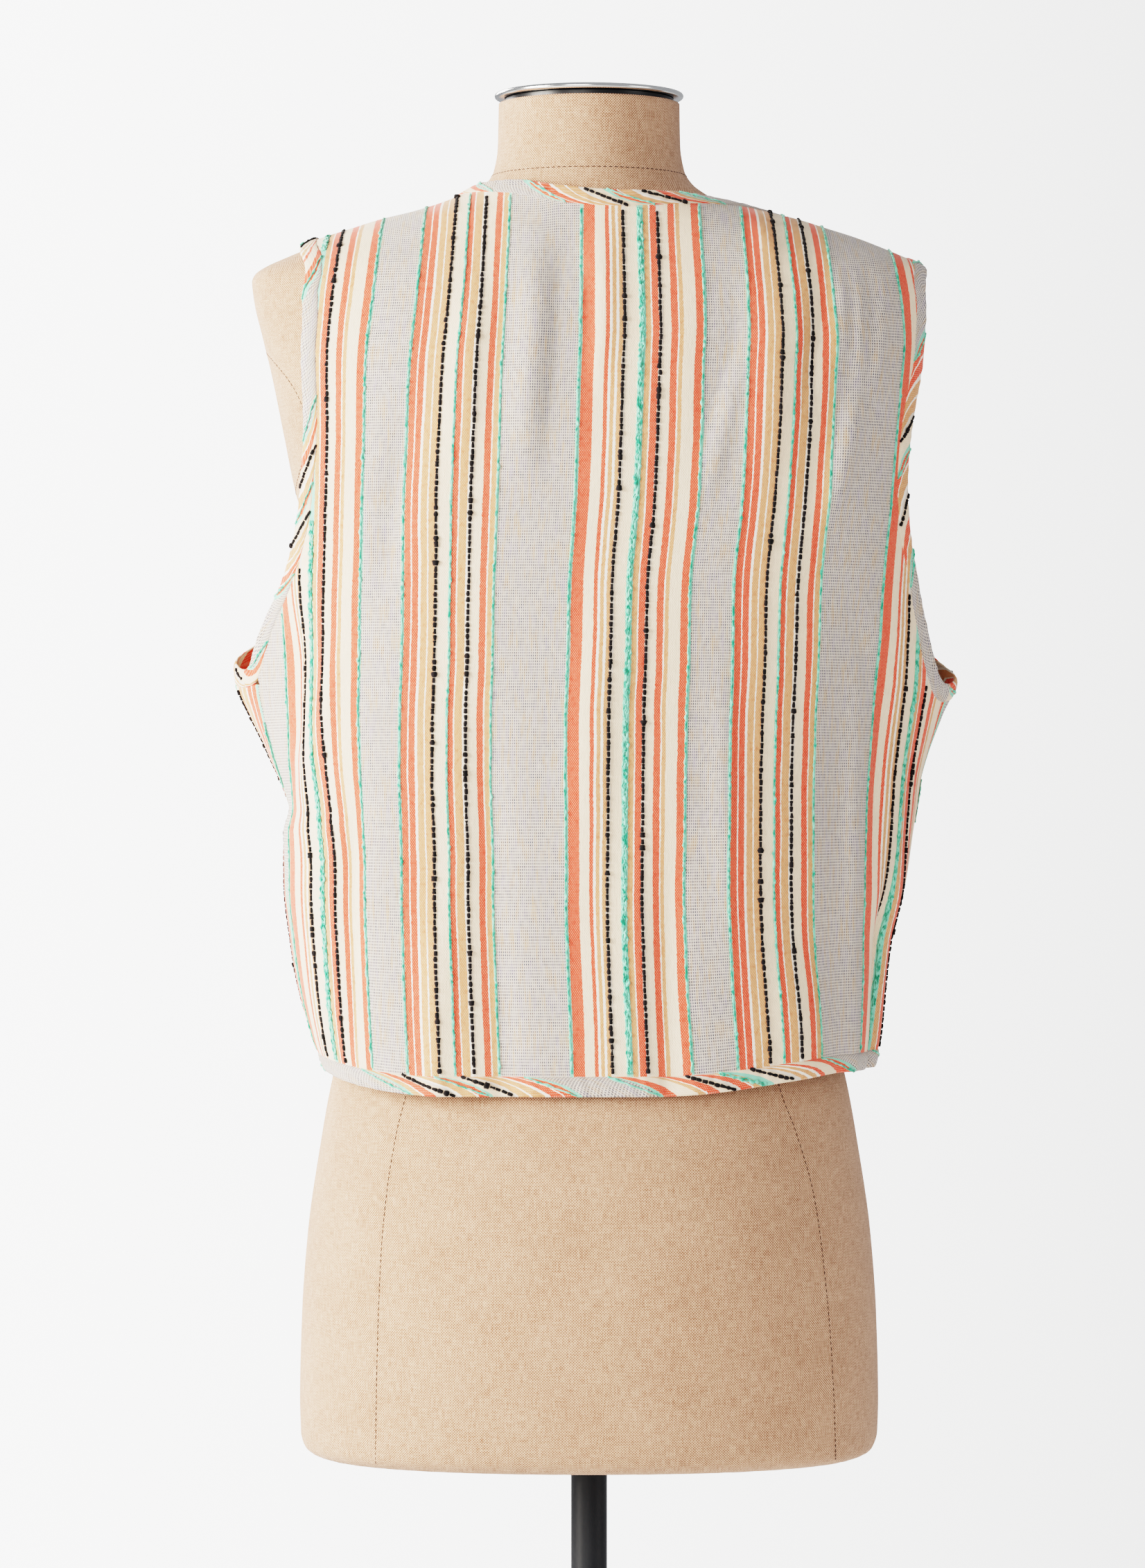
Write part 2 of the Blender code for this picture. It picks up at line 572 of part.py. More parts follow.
def back_panel(surface, holes, front_edge, collection):
    """The back, between the side seams and from the hem to the shoulder seams and the neck."""
    left, right = holes
    top = float(front_edge.stitch[front_edge.behind, 1].max())
    rows = panel_rows(HEM_HEIGHT + BINDING_WIDTH, top, holes)
    bend_start = max(left.high, right.high)
    share = np.clip((rows - bend_start) / (top - bend_start), 0.0, 1.0)[:, None]
    angles = np.array([
        surface.angles_between(left.limit(surface, row, "back"), right.limit(surface, row, "back"), row, BACK_COLUMNS)
        for row in rows])
    levels = rows[:, None] + (front_edge.neckline(angles)[0] - top) * share
    wall("vest_back", surface, angles, levels, 0.0, CLOTH_THICKNESS, "cloth", collection)
    return rows, angles


def front_panel(surface, hole, front_edge, back_rows, collection):
    """One front, from its bound edge to the side seam, the armhole and the shoulder seam.

    Up to the shoulder it has the back's rows, so that the side seam's edges match.
    """
    top = front_edge.neckline(hole.stitch[hole.top, 0])[0] - PANEL_POINT
    own = panel_rows(HEM_HEIGHT + BINDING_WIDTH, top, (hole,))
    rows = np.concatenate((back_rows[back_rows < hole.high - ROW_CLEARANCE], own[own >= hole.high - 0.1]))
    inner = read_path(front_edge.stitch, front_edge.meets(rows, hole.side))[:, 0]
    outer = np.array([hole.limit(surface, row, "front") for row in rows])
    first, last = (inner, outer) if hole.side < 0 else (outer, inner)
    angles = np.array([surface.angles_between(a, b, row, FRONT_COLUMNS) for a, b, row in zip(first, last, rows)])
    name = "vest_front_left" if hole.side < 0 else "vest_front_right"
    wall(name, surface, angles, rows[:, None], 0.0, CLOTH_THICKNESS, "cloth", collection)
    return rows, angles


def binding(name, surface, stitch, edge, collection, closed=False):
    """A folded strip on an edge, from just outside the stitch line to the edge."""
    shares = np.array((SEAM_GAP / BINDING_WIDTH, 0.5, 1.0))[:, None]
    angles = stitch[:, 0] + (edge[:, 0] - stitch[:, 0]) * shares
    heights = stitch[:, 1] + (edge[:, 1] - stitch[:, 1]) * shares
    wall(name, surface, angles, heights, -BINDING_INSIDE, BINDING_THICKNESS - BINDING_INSIDE, "binding",
         collection, closed)


def dress_form(collection, cutters):
    """The bust: a loft of the form's sections, closed at the neck and below, with a socket for the pole."""
    levels = []
    table = [row[0] for row in FORM_SECTIONS]
    for low, high in zip(table[:-1], table[1:]):
        pieces = max(1, int(round((high - low) / FORM_ROW_STEP)))
        levels += list(np.linspace(low, high, pieces, endpoint=False))
    levels.append(table[-1])
    angles = np.radians(np.linspace(-180.0, 180.0, FORM_COLUMNS_ROUND + 1)[:-1])
    angle, height = np.meshgrid(angles, np.array(levels))
    grid = form_points(angle, height)
    rows, columns = angle.shape
    index = np.arange(rows * columns).reshape(rows, columns)
    after = np.roll(index, -1, axis=1)
    faces = np.stack((index[:-1], after[:-1], after[1:], index[1:]), axis=-1).reshape(-1, 4).tolist()
    faces.append(index[0][::-1].tolist())
    faces.append(index[-1].tolist())
    mesh = bpy.data.meshes.new("dress_form")
    mesh.from_pydata((grid.reshape(-1, 3) * MM).tolist(), [], faces)
    mesh.materials.append(material("linen"))
    made = bpy.data.objects.new("dress_form", mesh)
    collection.objects.link(made)
    mesh.shade_smooth()
    bpy.ops.mesh.primitive_cylinder_add(
        vertices=48, radius=(POLE_RADIUS + SOCKET_CLEARANCE) * MM, depth=2 * SOCKET_DEPTH * MM,
        location=(0.0, 0.0, FORM_BOTTOM * MM))
    cutter = bpy.context.object
    cutter.name = "socket_cutter"
    cutter.hide_render = True
    cutter.display_type = "WIRE"
    for owner in list(cutter.users_collection):
        owner.objects.unlink(cutter)
    cutters.objects.link(cutter)
    cut = made.modifiers.new("Socket", "BOOLEAN")
    cut.operation = "DIFFERENCE"
    cut.object = cutter
    return made


def turned(name, profile, steps, kind, collection):
    """A turned piece: a profile of (radius, height) that runs down its outer side, spun round Z."""
    mesh = bpy.data.meshes.new(name)
    points = [(radius * MM, 0.0, height * MM) for radius, height in profile]
    mesh.from_pydata(points, [(i, i + 1) for i in range(len(points) - 1)], [])
    mesh.materials.append(material(kind))
    made = bpy.data.objects.new(name, mesh)
    collection.objects.link(made)
    spin = made.modifiers.new("Turn", "SCREW")
    spin.steps = spin.render_steps = steps
    spin.use_merge_vertices = True
    spin.merge_threshold = 0.00005
    spin.use_smooth_shade = False
    return made


def neck_cap(collection):
    """A dark spacer on the neck with a polished round plate over it, its rim rounded."""
    spacer_low = NECK_TOP + SEAM_GAP
    spacer_high = spacer_low + 2.5
    turned("neck_spacer", ((0.0, spacer_high), (50.0, spacer_high), (50.0, spacer_low), (0.0, spacer_low)),
           48, "black_steel", collection)
    low = spacer_high + SEAM_GAP
    rim = ((0.0, 4.6), (44.0, 4.0), (54.0, 3.4), (55.9, 1.8), (54.6, 0.0), (0.0, 0.0))
    turned("neck_cap", tuple((radius, low + height) for radius, height in rim), 48, "polished_steel", collection)


def stand(collection):
    """The steel pole in the form's socket, and the round weighted base with its collar."""
    low, high = COLLAR_FLOOR + SEAM_GAP, FORM_BOTTOM + SOCKET_DEPTH - SEAM_GAP
    bpy.ops.mesh.primitive_cylinder_add(
        vertices=32, radius=POLE_RADIUS * MM, depth=(high - low) * MM, location=(0.0, 0.0, (low + high) / 2 * MM))
    pole = bpy.context.object
    pole.name = "pole"
    pole.data.materials.append(material("black_steel"))
    for owner in list(pole.users_collection):
        owner.objects.unlink(pole)
    collection.objects.link(pole)
    bore = POLE_RADIUS + SOCKET_CLEARANCE
    profile = (
        (0.0, COLLAR_FLOOR), (bore, COLLAR_FLOOR), (bore, COLLAR_TOP), (18.0, COLLAR_TOP), (19.5, COLLAR_TOP - 1.5),
        (19.5, 17.0), (23.0, 13.5), (110.0, 10.0), (163.0, 7.6), (BASE_RADIUS, 4.0), (BASE_RADIUS, 1.2),
        (BASE_RADIUS - 1.2, 0.0), (0.0, 0.0),
    )
    turned("base", profile, 48, "black_steel", collection)


def vest(collection):
    """The back, two fronts, and a binding on each edge whose stations are the panels' own rows and columns."""
    surface = VestSurface()
    left = Armhole(surface, LEFT_ARMHOLE, -1)
    right = Armhole(surface, RIGHT_ARMHOLE, 1)
    front_edge = FrontEdge(surface)
    back_rows, back_angles = back_panel(surface, (left, right), front_edge, collection)
    fronts = [front_panel(surface, hole, front_edge, back_rows, collection) for hole in (left, right)]
    for name, hole, front in (("left", left, fronts[0]), ("right", right, fronts[1])):
        at = hole.stations(back_rows, front[0])
        binding("armhole_binding_" + name, surface, read_path(hole.stitch, at), read_path(hole.edge, at),
                collection, closed=True)
    neck_at = front_edge.neckline(back_angles[-1])[1]
    at = np.concatenate(([0.0], front_edge.meets(fronts[0][0], -1), neck_at,
                         front_edge.meets(fronts[1][0], 1)[::-1], [EDGE_POINTS - 1.0]))
    binding("neck_and_front_binding", surface, read_path(front_edge.stitch, at), read_path(front_edge.edge, at),
            collection)
    hem_binding(surface, front_edge, (fronts[0][1][0], back_angles[0], fronts[1][1][0]), collection)


def hem_binding(surface, front_edge, bottom_rows, collection):
    """The strip on the hem, between the two front bindings."""
    left, back, right = bottom_rows
    inner = np.concatenate((left, back[1:-1], right))
    outer = inner.copy()
    heights = np.array((HEM_HEIGHT + BINDING_WIDTH, HEM_HEIGHT))
    for side, end in ((-1, 0), (1, -1)):
        for line, height in zip((inner, outer), heights):
            angle = read_path(front_edge.stitch, front_edge.meets([height], side))[0, 0]
            _, along = surface.row_fields(height)
            u = np.interp(angle, LATTICE_ANGLES, along) - side * SEAM_GAP
            line[end] = np.interp(u, along, LATTICE_ANGLES)
    stitch, edge = (np.stack((line, np.full(len(line), height)), axis=1)
                    for line, height in zip((inner, outer), heights))
    binding("hem_binding", surface, stitch, edge, collection)


def main():
    clear_scene()
    cutters = new_collection("cutters", hidden=True)
    collection = new_collection("vest_on_dress_form")
    stand(collection)
    dress_form(collection, cutters)
    neck_cap(collection)
    vest(collection)


main()
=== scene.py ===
import math

import bpy
import numpy as np
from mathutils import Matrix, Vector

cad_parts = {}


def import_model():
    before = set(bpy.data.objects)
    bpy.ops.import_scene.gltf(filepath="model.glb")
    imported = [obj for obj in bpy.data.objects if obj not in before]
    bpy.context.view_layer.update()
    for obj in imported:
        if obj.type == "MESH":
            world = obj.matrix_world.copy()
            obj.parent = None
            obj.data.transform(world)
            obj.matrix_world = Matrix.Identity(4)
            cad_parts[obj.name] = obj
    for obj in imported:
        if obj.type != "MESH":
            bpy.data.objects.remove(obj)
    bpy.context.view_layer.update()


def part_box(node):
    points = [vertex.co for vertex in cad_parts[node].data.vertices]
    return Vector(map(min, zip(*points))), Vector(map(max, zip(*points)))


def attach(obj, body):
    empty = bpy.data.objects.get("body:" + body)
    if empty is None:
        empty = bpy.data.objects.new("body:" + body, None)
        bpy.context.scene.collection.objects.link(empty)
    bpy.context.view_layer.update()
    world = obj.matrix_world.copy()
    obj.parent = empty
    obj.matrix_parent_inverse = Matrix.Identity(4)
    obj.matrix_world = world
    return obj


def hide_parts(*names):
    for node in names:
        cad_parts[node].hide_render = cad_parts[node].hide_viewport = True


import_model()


# The dress form: a hard hollow bust, padded and covered with fine natural linen. The cover is cut
# in long gores, seamed from neck to hem, pulled over the bust and turned in under its lower edge.

MM = 0.001

FORM_COLUMNS = ("height", "half_width", "back", "front", "power")
FORM_SECTIONS = (
    (697.0, 158.0, 101.0, 95.0, 2.25),
    (699.5, 164.5, 107.0, 101.0, 2.25),
    (704.0, 168.3, 111.5, 104.5, 2.25),
    (712.0, 170.2, 114.5, 107.0, 2.25),
    (730.0, 170.8, 118.0, 109.0, 2.25),
    (780.0, 169.6, 123.0, 113.0, 2.25),
    (830.0, 166.0, 122.0, 113.0, 2.25),
    (880.0, 158.8, 114.0, 108.5, 2.25),
    (920.0, 151.5, 103.5, 101.5, 2.25),
    (970.0, 137.0, 88.0, 95.0, 2.25),
    (1020.0, 124.5, 80.5, 90.0, 2.25),
    (1050.0, 121.0, 79.0, 89.5, 2.25),
    (1090.0, 126.0, 83.0, 98.0, 2.25),
    (1130.0, 134.0, 88.0, 112.0, 2.25),
    (1170.0, 142.0, 93.0, 126.0, 2.25),
    (1200.0, 149.0, 97.0, 130.0, 2.25),
    (1230.0, 159.0, 99.5, 124.0, 2.3),
    (1260.0, 172.0, 101.0, 113.0, 2.4),
    (1300.0, 180.5, 99.5, 97.0, 2.5),
    (1334.0, 187.4, 94.0, 84.0, 2.5),
    (1357.0, 193.0, 88.5, 76.0, 2.4),
    (1378.0, 198.0, 82.0, 69.5, 2.3),
    (1390.0, 199.3, 77.5, 66.0, 2.2),
    (1394.0, 197.5, 76.0, 65.0, 2.15),
    (1398.0, 192.0, 74.5, 64.0, 2.1),
    (1403.5, 180.0, 72.5, 62.5, 2.05),
    (1408.5, 168.0, 71.0, 61.5, 2.0),
    (1413.0, 156.0, 69.5, 60.5, 2.0),
    (1418.0, 140.0, 67.5, 59.5, 2.0),
    (1423.0, 124.0, 66.0, 59.0, 2.0),
    (1427.0, 107.0, 64.5, 58.5, 2.0),
    (1431.5, 91.5, 63.0, 58.0, 2.0),
    (1436.5, 78.0, 61.5, 57.5, 2.0),
    (1442.0, 68.0, 60.0, 57.0, 2.0),
    (1447.0, 61.5, 58.5, 56.5, 2.0),
    (1455.0, 56.5, 56.0, 55.0, 2.0),
    (1470.0, 54.0, 54.0, 54.0, 2.0),
    (1495.0, 53.5, 53.5, 53.5, 2.0),
)
FORM_BOTTOM, FORM_TOP = FORM_SECTIONS[0][0], FORM_SECTIONS[-1][0]
LINEN_LIGHT = (229, 190, 163)
LINEN_DARK = (132, 88, 62)
LINEN_THREAD = 0.8
SEAM_BROWN = (92, 62, 44)
# The gore seams, each as x at the heights of the first row
SEAM_HEIGHTS = (697.0, 760.0, 820.0, 857.0, 893.0, 916.0, 1050.0, 1400.0)
FORM_SEAMS = (
    ("back", (-123.5, -122.2, -120.0, -116.8, -111.0, -105.3, -80.0, -104.0)),
    ("back", (143.0, 140.0, 134.6, 129.1, 118.8, 110.2, 84.0, 108.0)),
    ("front", (-118.0, -115.0, -112.0, -108.0, -101.0, -96.0, -74.0, -98.0)),
    ("front", (118.0, 115.0, 112.0, 108.0, 101.0, 96.0, 74.0, 98.0)),
)
# The oval seam of the plate that closes each arm: its middle height, half angle and half height
ARM_SEAM = (1306.0, 30.5, 42.0)
NECK_SEAM_HEIGHT = 1452.0
# The socket for the pole under the form, as rings of (radius, height)
SOCKET_RINGS = ((0.05, 757.0), (11.0, 757.0), (11.0, 697.0))


def smooth_rows(heights, values, at):
    """A smooth curve through a table's rows that never overshoots them: cubic pieces whose slope at a
    row is the harmonic mean of the slopes on its two sides, or nil at a turn."""
    steps = np.diff(values) / np.diff(heights)
    before, after = steps[:-1], steps[1:]
    same_way = before * after > 0
    total = np.where(same_way, before + after, 1.0)
    slopes = np.concatenate((steps[:1], np.where(same_way, 2 * before * after / total, 0.0), steps[-1:]))
    row = np.clip(np.searchsorted(heights, at) - 1, 0, len(heights) - 2)
    span = heights[row + 1] - heights[row]
    t = np.clip((at - heights[row]) / span, 0.0, 1.0)
    start = values[row] * (2 * t**3 - 3 * t**2 + 1) + slopes[row] * span * (t**3 - 2 * t**2 + t)
    end = values[row + 1] * (3 * t**2 - 2 * t**3) + slopes[row + 1] * span * (t**3 - t**2)
    return start + end


def section_columns(columns, rows, at):
    """Every column of a section table, read at the heights asked for."""
    table = np.array(rows)
    return {name: smooth_rows(table[:, 0], table[:, i], at) for i, name in enumerate(columns)}


def level_section(angle, half_width, depth, power):
    """A point of a superellipse in the direction angle, 0 at the back and +90 degrees at the right:
    reach is (|sin|^power + |cos|^power)^(-1/power), times the half width and the depth."""
    sine, cosine = np.sin(angle), np.cos(angle)
    reach = (np.abs(sine) ** power + np.abs(cosine) ** power) ** (-1.0 / power)
    return half_width * sine * reach, -depth * cosine * reach


def form_points(angle, height):
    """The form's surface: its level section at each height, in millimetres."""
    row = section_columns(FORM_COLUMNS, FORM_SECTIONS, height)
    depth = np.where(np.cos(angle) > 0, row["back"], row["front"])
    x, y = level_section(angle, row["half_width"], depth, row["power"])
    return np.stack((x, y, height + 0 * angle), axis=-1)


def linear(colour):
    """An sRGB colour of 0 to 255 as linear light, with alpha 1."""
    value = np.array(colour, float) / 255.0
    light = np.where(value <= 0.04045, value / 12.92, ((value + 0.055) / 1.055) ** 2.4)
    return (*light.tolist(), 1.0)


class Wire:
    """A node's output, or a number, in an expression: each operator adds one Math node."""

    def __init__(self, finish, socket):
        self.finish, self.socket = finish, socket

    def math(self, operation, *others):
        inputs = dict(enumerate((self,) + others))
        return self.finish.node("ShaderNodeMath", {"operation": operation}, inputs)[0]

    def clamped(self):
        return self.math("MAXIMUM", 0.0).math("MINIMUM", 1.0)

    def __add__(self, other):
        return self.math("ADD", other)

    def __sub__(self, other):
        return self.math("SUBTRACT", other)

    def __rsub__(self, other):
        return self.finish.node("ShaderNodeMath", {"operation": "SUBTRACT"}, {0: other, 1: self})[0]

    def __mul__(self, other):
        return self.math("MULTIPLY", other)

    def __truediv__(self, other):
        return self.math("DIVIDE", other)

    __radd__, __rmul__ = __add__, __mul__


class Finish:
    """A Principled material that is built from expressions on Wires."""

    def __init__(self, name, roughness=0.8, metallic=0.0, sheen=0.0):
        self.material = bpy.data.materials.new(name)
        self.material.use_nodes = True
        self.tree = self.material.node_tree
        self.shader = self.tree.nodes["Principled BSDF"]
        self.shader.inputs["Roughness"].default_value = roughness
        self.shader.inputs["Metallic"].default_value = metallic
        self.shader.inputs["Sheen Weight"].default_value = sheen

    def node(self, kind, settings=None, inputs=None):
        """Adds a node, sets its settings, then its sockets to numbers, colours or Wires; returns
        its outputs."""
        node = self.tree.nodes.new(kind)
        for name, value in (settings or {}).items():
            if name == "stops":
                self.set_stops(node.color_ramp, value)
            elif name == "interpolation" and kind == "ShaderNodeValToRGB":
                node.color_ramp.interpolation = value
            else:
                setattr(node, name, value)
        for name, value in (inputs or {}).items():
            if isinstance(value, Wire):
                self.tree.links.new(value.socket, node.inputs[name])
            else:
                node.inputs[name].default_value = value
        return [Wire(self, output) for output in node.outputs]

    @staticmethod
    def set_stops(ramp, stops):
        while len(ramp.elements) < len(stops):
            ramp.elements.new(1.0)
        for element, (position, colour) in zip(ramp.elements, stops):
            element.position, element.color = position, colour

    def mix(self, factor, first, second, blend="MIX"):
        """A colour mix of two colours or Wires."""
        settings = {"data_type": "RGBA", "blend_type": blend}
        return self.node("ShaderNodeMix", settings, {0: factor, 6: first, 7: second})[2]

    def noise(self, vector, scale, detail=2.0):
        return self.node("ShaderNodeTexNoise", {}, {"Vector": vector, "Scale": scale, "Detail": detail})[0]

    def uv(self):
        """The piece's own UV map, in metres, as two numbers."""
        vector = self.node("ShaderNodeUVMap", {"uv_map": "cloth"})[0]
        return self.node("ShaderNodeSeparateXYZ", {}, {0: vector})[:2]

    def position(self):
        """The object's own coordinates."""
        return self.node("ShaderNodeTexCoord")[3]

    def vector(self, x, y, z=0.0):
        return self.node("ShaderNodeCombineXYZ", {}, {0: x, 1: y, 2: z})[0]

    def connect(self, **inputs):
        """Links Wires to the Principled shader, with a height in metres as a Bump."""
        for name, wire in inputs.items():
            if name == "height":
                bump = self.node("ShaderNodeBump", {}, {"Height": wire, "Distance": 1.0, "Strength": 1.0})[0]
                self.tree.links.new(bump.socket, self.shader.inputs["Normal"])
            else:
                self.tree.links.new(wire.socket, self.shader.inputs[name.replace("_", " ")])
        return self.material


def plain_weave(u, v, warp, weft):
    """A plain weave's over and under: sin(u) times sin(v), as a number from -1 to 1."""
    return (u * (math.pi / warp)).math("SINE") * (v * (math.pi / weft)).math("SINE")


def linen_finish(name):
    """Natural linen: two threads of unlike tone in a fine weave, slubs along both, a faint mottle."""
    finish = Finish(name, roughness=0.92, sheen=0.15)
    u, v = finish.uv()
    thread = LINEN_THREAD * MM
    weave = plain_weave(u, v, thread, thread)
    slub_v = finish.noise(finish.vector(u * 1300.0, v * 140.0), 1.0, 3.0)
    slub_u = finish.noise(finish.vector(u * 140.0, v * 1300.0), 1.0, 3.0)
    mottle = finish.noise(finish.vector(u * 28.0, v * 28.0), 1.0, 4.0)
    tone = 0.5 + weave * 0.7 + (slub_v - 0.5) * 1.0 + (slub_u - 0.5) * 0.85 + (mottle - 0.5) * 0.3
    colour = finish.mix(tone.clamped(), linear(LINEN_DARK), linear(LINEN_LIGHT))
    height = (weave * 0.5 + slub_v + slub_u) * (0.09 * MM)
    return finish.connect(Base_Color=colour, height=height)


def add_piece(name, points, faces, material, corner_uv=None):
    """A smooth mesh of points in millimetres on the part's one body, with a UV for each face corner."""
    mesh = bpy.data.meshes.new(name)
    mesh.from_pydata((points.reshape(-1, 3) * MM).tolist(), [], faces)
    if corner_uv is not None:
        mesh.uv_layers.new(name="cloth").data.foreach_set("uv", corner_uv.astype(np.float32).ravel())
    mesh.materials.append(material)
    mesh.shade_smooth()
    piece = bpy.data.objects.new(name, mesh)
    bpy.context.scene.collection.objects.link(piece)
    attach(piece, "root")
    return piece


def grid_quads(grid):
    """The four-cornered faces of a grid of vertex numbers."""
    return np.stack((grid[:-1, :-1], grid[:-1, 1:], grid[1:, 1:], grid[1:, :-1]), axis=-1).reshape(-1, 4)


def grid_piece(name, points, uv, material, closed_run=False, closed_round=False, ends=(False, False)):
    """A mesh from a grid of points in millimetres, rows by columns, with a UV map in metres. A closed grid
    joins its last row or column to its first, and its UV map has that row or column twice. An end that is
    closed has one face over its whole row."""
    rows, columns = points.shape[:2]
    index = np.arange(rows * columns).reshape(rows, columns)
    if closed_round:
        index = np.concatenate((index, index[:, :1]), axis=1)
    if closed_run:
        index = np.concatenate((index, index[:1]), axis=0)
    corners = np.arange(index.size).reshape(index.shape)
    faces = grid_quads(index).tolist()
    uv_flat = uv.reshape(-1, 2)
    loops = [uv_flat[grid_quads(corners).reshape(-1)]]
    last = -1 if closed_round else None
    for end, row in zip(ends, (0, -1)):
        if end:
            step = -1 if row == 0 else 1
            faces.append(index[row, :last][::step].tolist())
            loops.append(uv_flat[corners[row, :last][::step]])
    return add_piece(name, points, faces, material, np.concatenate(loops))


def form_grid():
    """The cover's points: level sections every few millimetres, closer where the table's rows are close,
    with the small puckers of the turned-in edge, which fade upward from the bottom."""
    heights = np.unique(np.concatenate((
        np.linspace(FORM_BOTTOM, 712.0, 12), np.arange(716.0, 1380.0, 5.0), np.arange(1380.0, 1460.0, 1.6),
        np.linspace(1460.0, FORM_TOP, 16))))
    angle, height = np.meshgrid(np.radians(np.linspace(-180.0, 180.0, 201)), heights)
    points = form_points(angle, height)
    rng = np.random.default_rng(4)
    pucker = np.zeros_like(angle)
    for count in (38, 53, 71, 97):
        pucker += np.sin(angle * count + rng.uniform(0, 6.28)) / 4
    pucker *= 1.1 * np.exp(-((height - 700.0) / 9.0) ** 2)
    outward = points * np.array((1.0, 1.0, 0.0))
    outward /= np.linalg.norm(outward, axis=-1, keepdims=True)
    points = points + outward * np.minimum(pucker, 0.25)[..., None]
    circle = np.stack((np.sin(angle[0]), -np.cos(angle[0]), 0 * angle[0]), axis=-1)
    socket = [circle * radius + np.array((0.0, 0.0, level)) for radius, level in SOCKET_RINGS]
    under = [socket[-1] + (points[0] - socket[-1]) * share for share in (0.3, 0.6, 0.85)]
    points = np.concatenate((np.array(socket + under), points))
    run = np.concatenate((np.zeros((len(points), 1)),
                          np.cumsum(np.linalg.norm(np.diff(points, axis=1), axis=2), axis=1)), axis=1)
    run -= run[:, 100:101]
    up = np.concatenate(([0.0], np.cumsum(np.linalg.norm(np.diff(points[:, 100], axis=0), axis=1))))
    uv = np.stack((run, np.broadcast_to(up[:, None], run.shape)), axis=-1) * MM
    return points[:, :-1], uv


LINEN = linen_finish("linen")
cover_points, cover_uv = form_grid()
linen_cover = grid_piece("linen_cover", cover_points, cover_uv, LINEN, closed_round=True, ends=(True, True))
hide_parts("dress_form")


# The stitches of the form's seams: a row of short brown stitches sunk a little in the linen, down
# each gore seam, round the neck and round the flat plate that closes each arm.

STITCH_PITCH = 3.4
STITCH_LENGTH = 2.2
STITCH_RADIUS = 0.32
STITCH_FLATNESS = 0.8


def short_rods(name, starts, ends, normals, radii, flat, material, sides=6, lumps=0.0, seed=0, tip=0.5):
    """Short rounded rods from starts to ends in millimetres, as one mesh: five rings each, the end rings
    tip times as wide, flattened by flat along their normals. Lumps is how far each ring's radius strays,
    as a share of it."""
    along = np.array((0.0, 0.14, 0.5, 0.86, 1.0))
    shape = np.array((tip, 0.96, 1.0, 0.96, tip))
    swell = shape * (1 + lumps * np.random.default_rng(seed).normal(size=(len(starts), 5)))
    run = ends - starts
    length = np.linalg.norm(run, axis=1, keepdims=True)
    tangent = run / np.maximum(length, 1e-6)
    side = np.cross(tangent, normals)
    side /= np.linalg.norm(side, axis=1, keepdims=True)
    up = np.cross(side, tangent)
    turn = np.arange(sides) * 2 * math.pi / sides
    centre = starts[:, None, :] + run[:, None, :] * along[None, :, None]
    ring = np.cos(turn)[:, None, None] * side[None] + flat * np.sin(turn)[:, None, None] * up[None]
    reach = (radii[:, None] * swell)[..., None, None]
    points = centre[:, :, None, :] + reach * ring.transpose(1, 0, 2)[:, None]
    count = len(starts)
    block = 5 * sides
    index = np.arange(block).reshape(5, sides)
    after = np.roll(index, -1, axis=1)
    quads = np.stack((index[:-1], after[:-1], after[1:], index[1:]), axis=-1).reshape(-1, 4)
    offset = (np.arange(count) * block)[:, None, None]
    faces = (quads[None] + offset).reshape(-1, 4).tolist()
    faces += (index[0][::-1][None] + offset[:, 0]).tolist() + (index[-1][None] + offset[:, 0]).tolist()
    return add_piece(name, points, faces, material)


def thread_finish(name, colour, roughness=0.75):
    """Plain sewing thread, a shade lighter and darker along its length."""
    finish = Finish(name, roughness=roughness, sheen=0.2)
    position = finish.position()
    grain = finish.noise(position, 900.0, 2.0)
    dark = tuple(0.6 * channel for channel in colour)
    return finish.connect(Base_Color=finish.mix(grain, linear(dark), linear(colour)))


def seam_lines():
    """Each seam as a line of points on the form: the gore seams, the neck's and the ovals of the arms."""
    lines = []
    for face, places in FORM_SEAMS:
        heights = np.arange(701.0, 1395.0, 1.0)
        x = smooth_rows(np.array(SEAM_HEIGHTS), np.array(places), heights)
        row = section_columns(FORM_COLUMNS, FORM_SECTIONS, heights)
        reach = np.clip(1 - np.abs(x / row["half_width"]) ** row["power"], 0.0, 1.0) ** (1 / row["power"])
        y = -row["back"] * reach if face == "back" else row["front"] * reach
        lines.append(np.stack((x, y, heights), axis=1))
    turn = np.radians(np.arange(-180.0, 180.5, 1.0))
    lines.append(form_points(turn, np.full_like(turn, NECK_SEAM_HEIGHT)))
    middle, half_angle, half_height = ARM_SEAM
    for side in (-90.0, 90.0):
        angle = np.radians(side + half_angle * np.sin(turn))
        lines.append(form_points(angle, middle + half_height * np.cos(turn)))
    return lines


def stitched(line, pitch, length):
    """Starts and ends of stitches along a line of points, and the outward normals there."""
    run = np.concatenate(([0.0], np.cumsum(np.linalg.norm(np.diff(line, axis=0), axis=1))))
    begin = np.arange(0.0, run[-1] - length, pitch)
    starts, ends = (np.stack([np.interp(at, run, line[:, i]) for i in range(3)], axis=1)
                    for at in (begin, begin + length))
    normals = starts * np.array((1.0, 1.0, 0.0))
    return starts, ends, normals / np.linalg.norm(normals, axis=1, keepdims=True)


BROWN_THREAD = thread_finish("brown_thread", SEAM_BROWN)
seams = [stitched(line, STITCH_PITCH, STITCH_LENGTH) for line in seam_lines()]
stitches = [np.concatenate(group) for group in zip(*seams)]
stitch_radii = np.full(len(stitches[0]), STITCH_RADIUS)
form_stitches = short_rods("form_stitches", *stitches, stitch_radii, STITCH_FLATNESS, BROWN_THREAD)
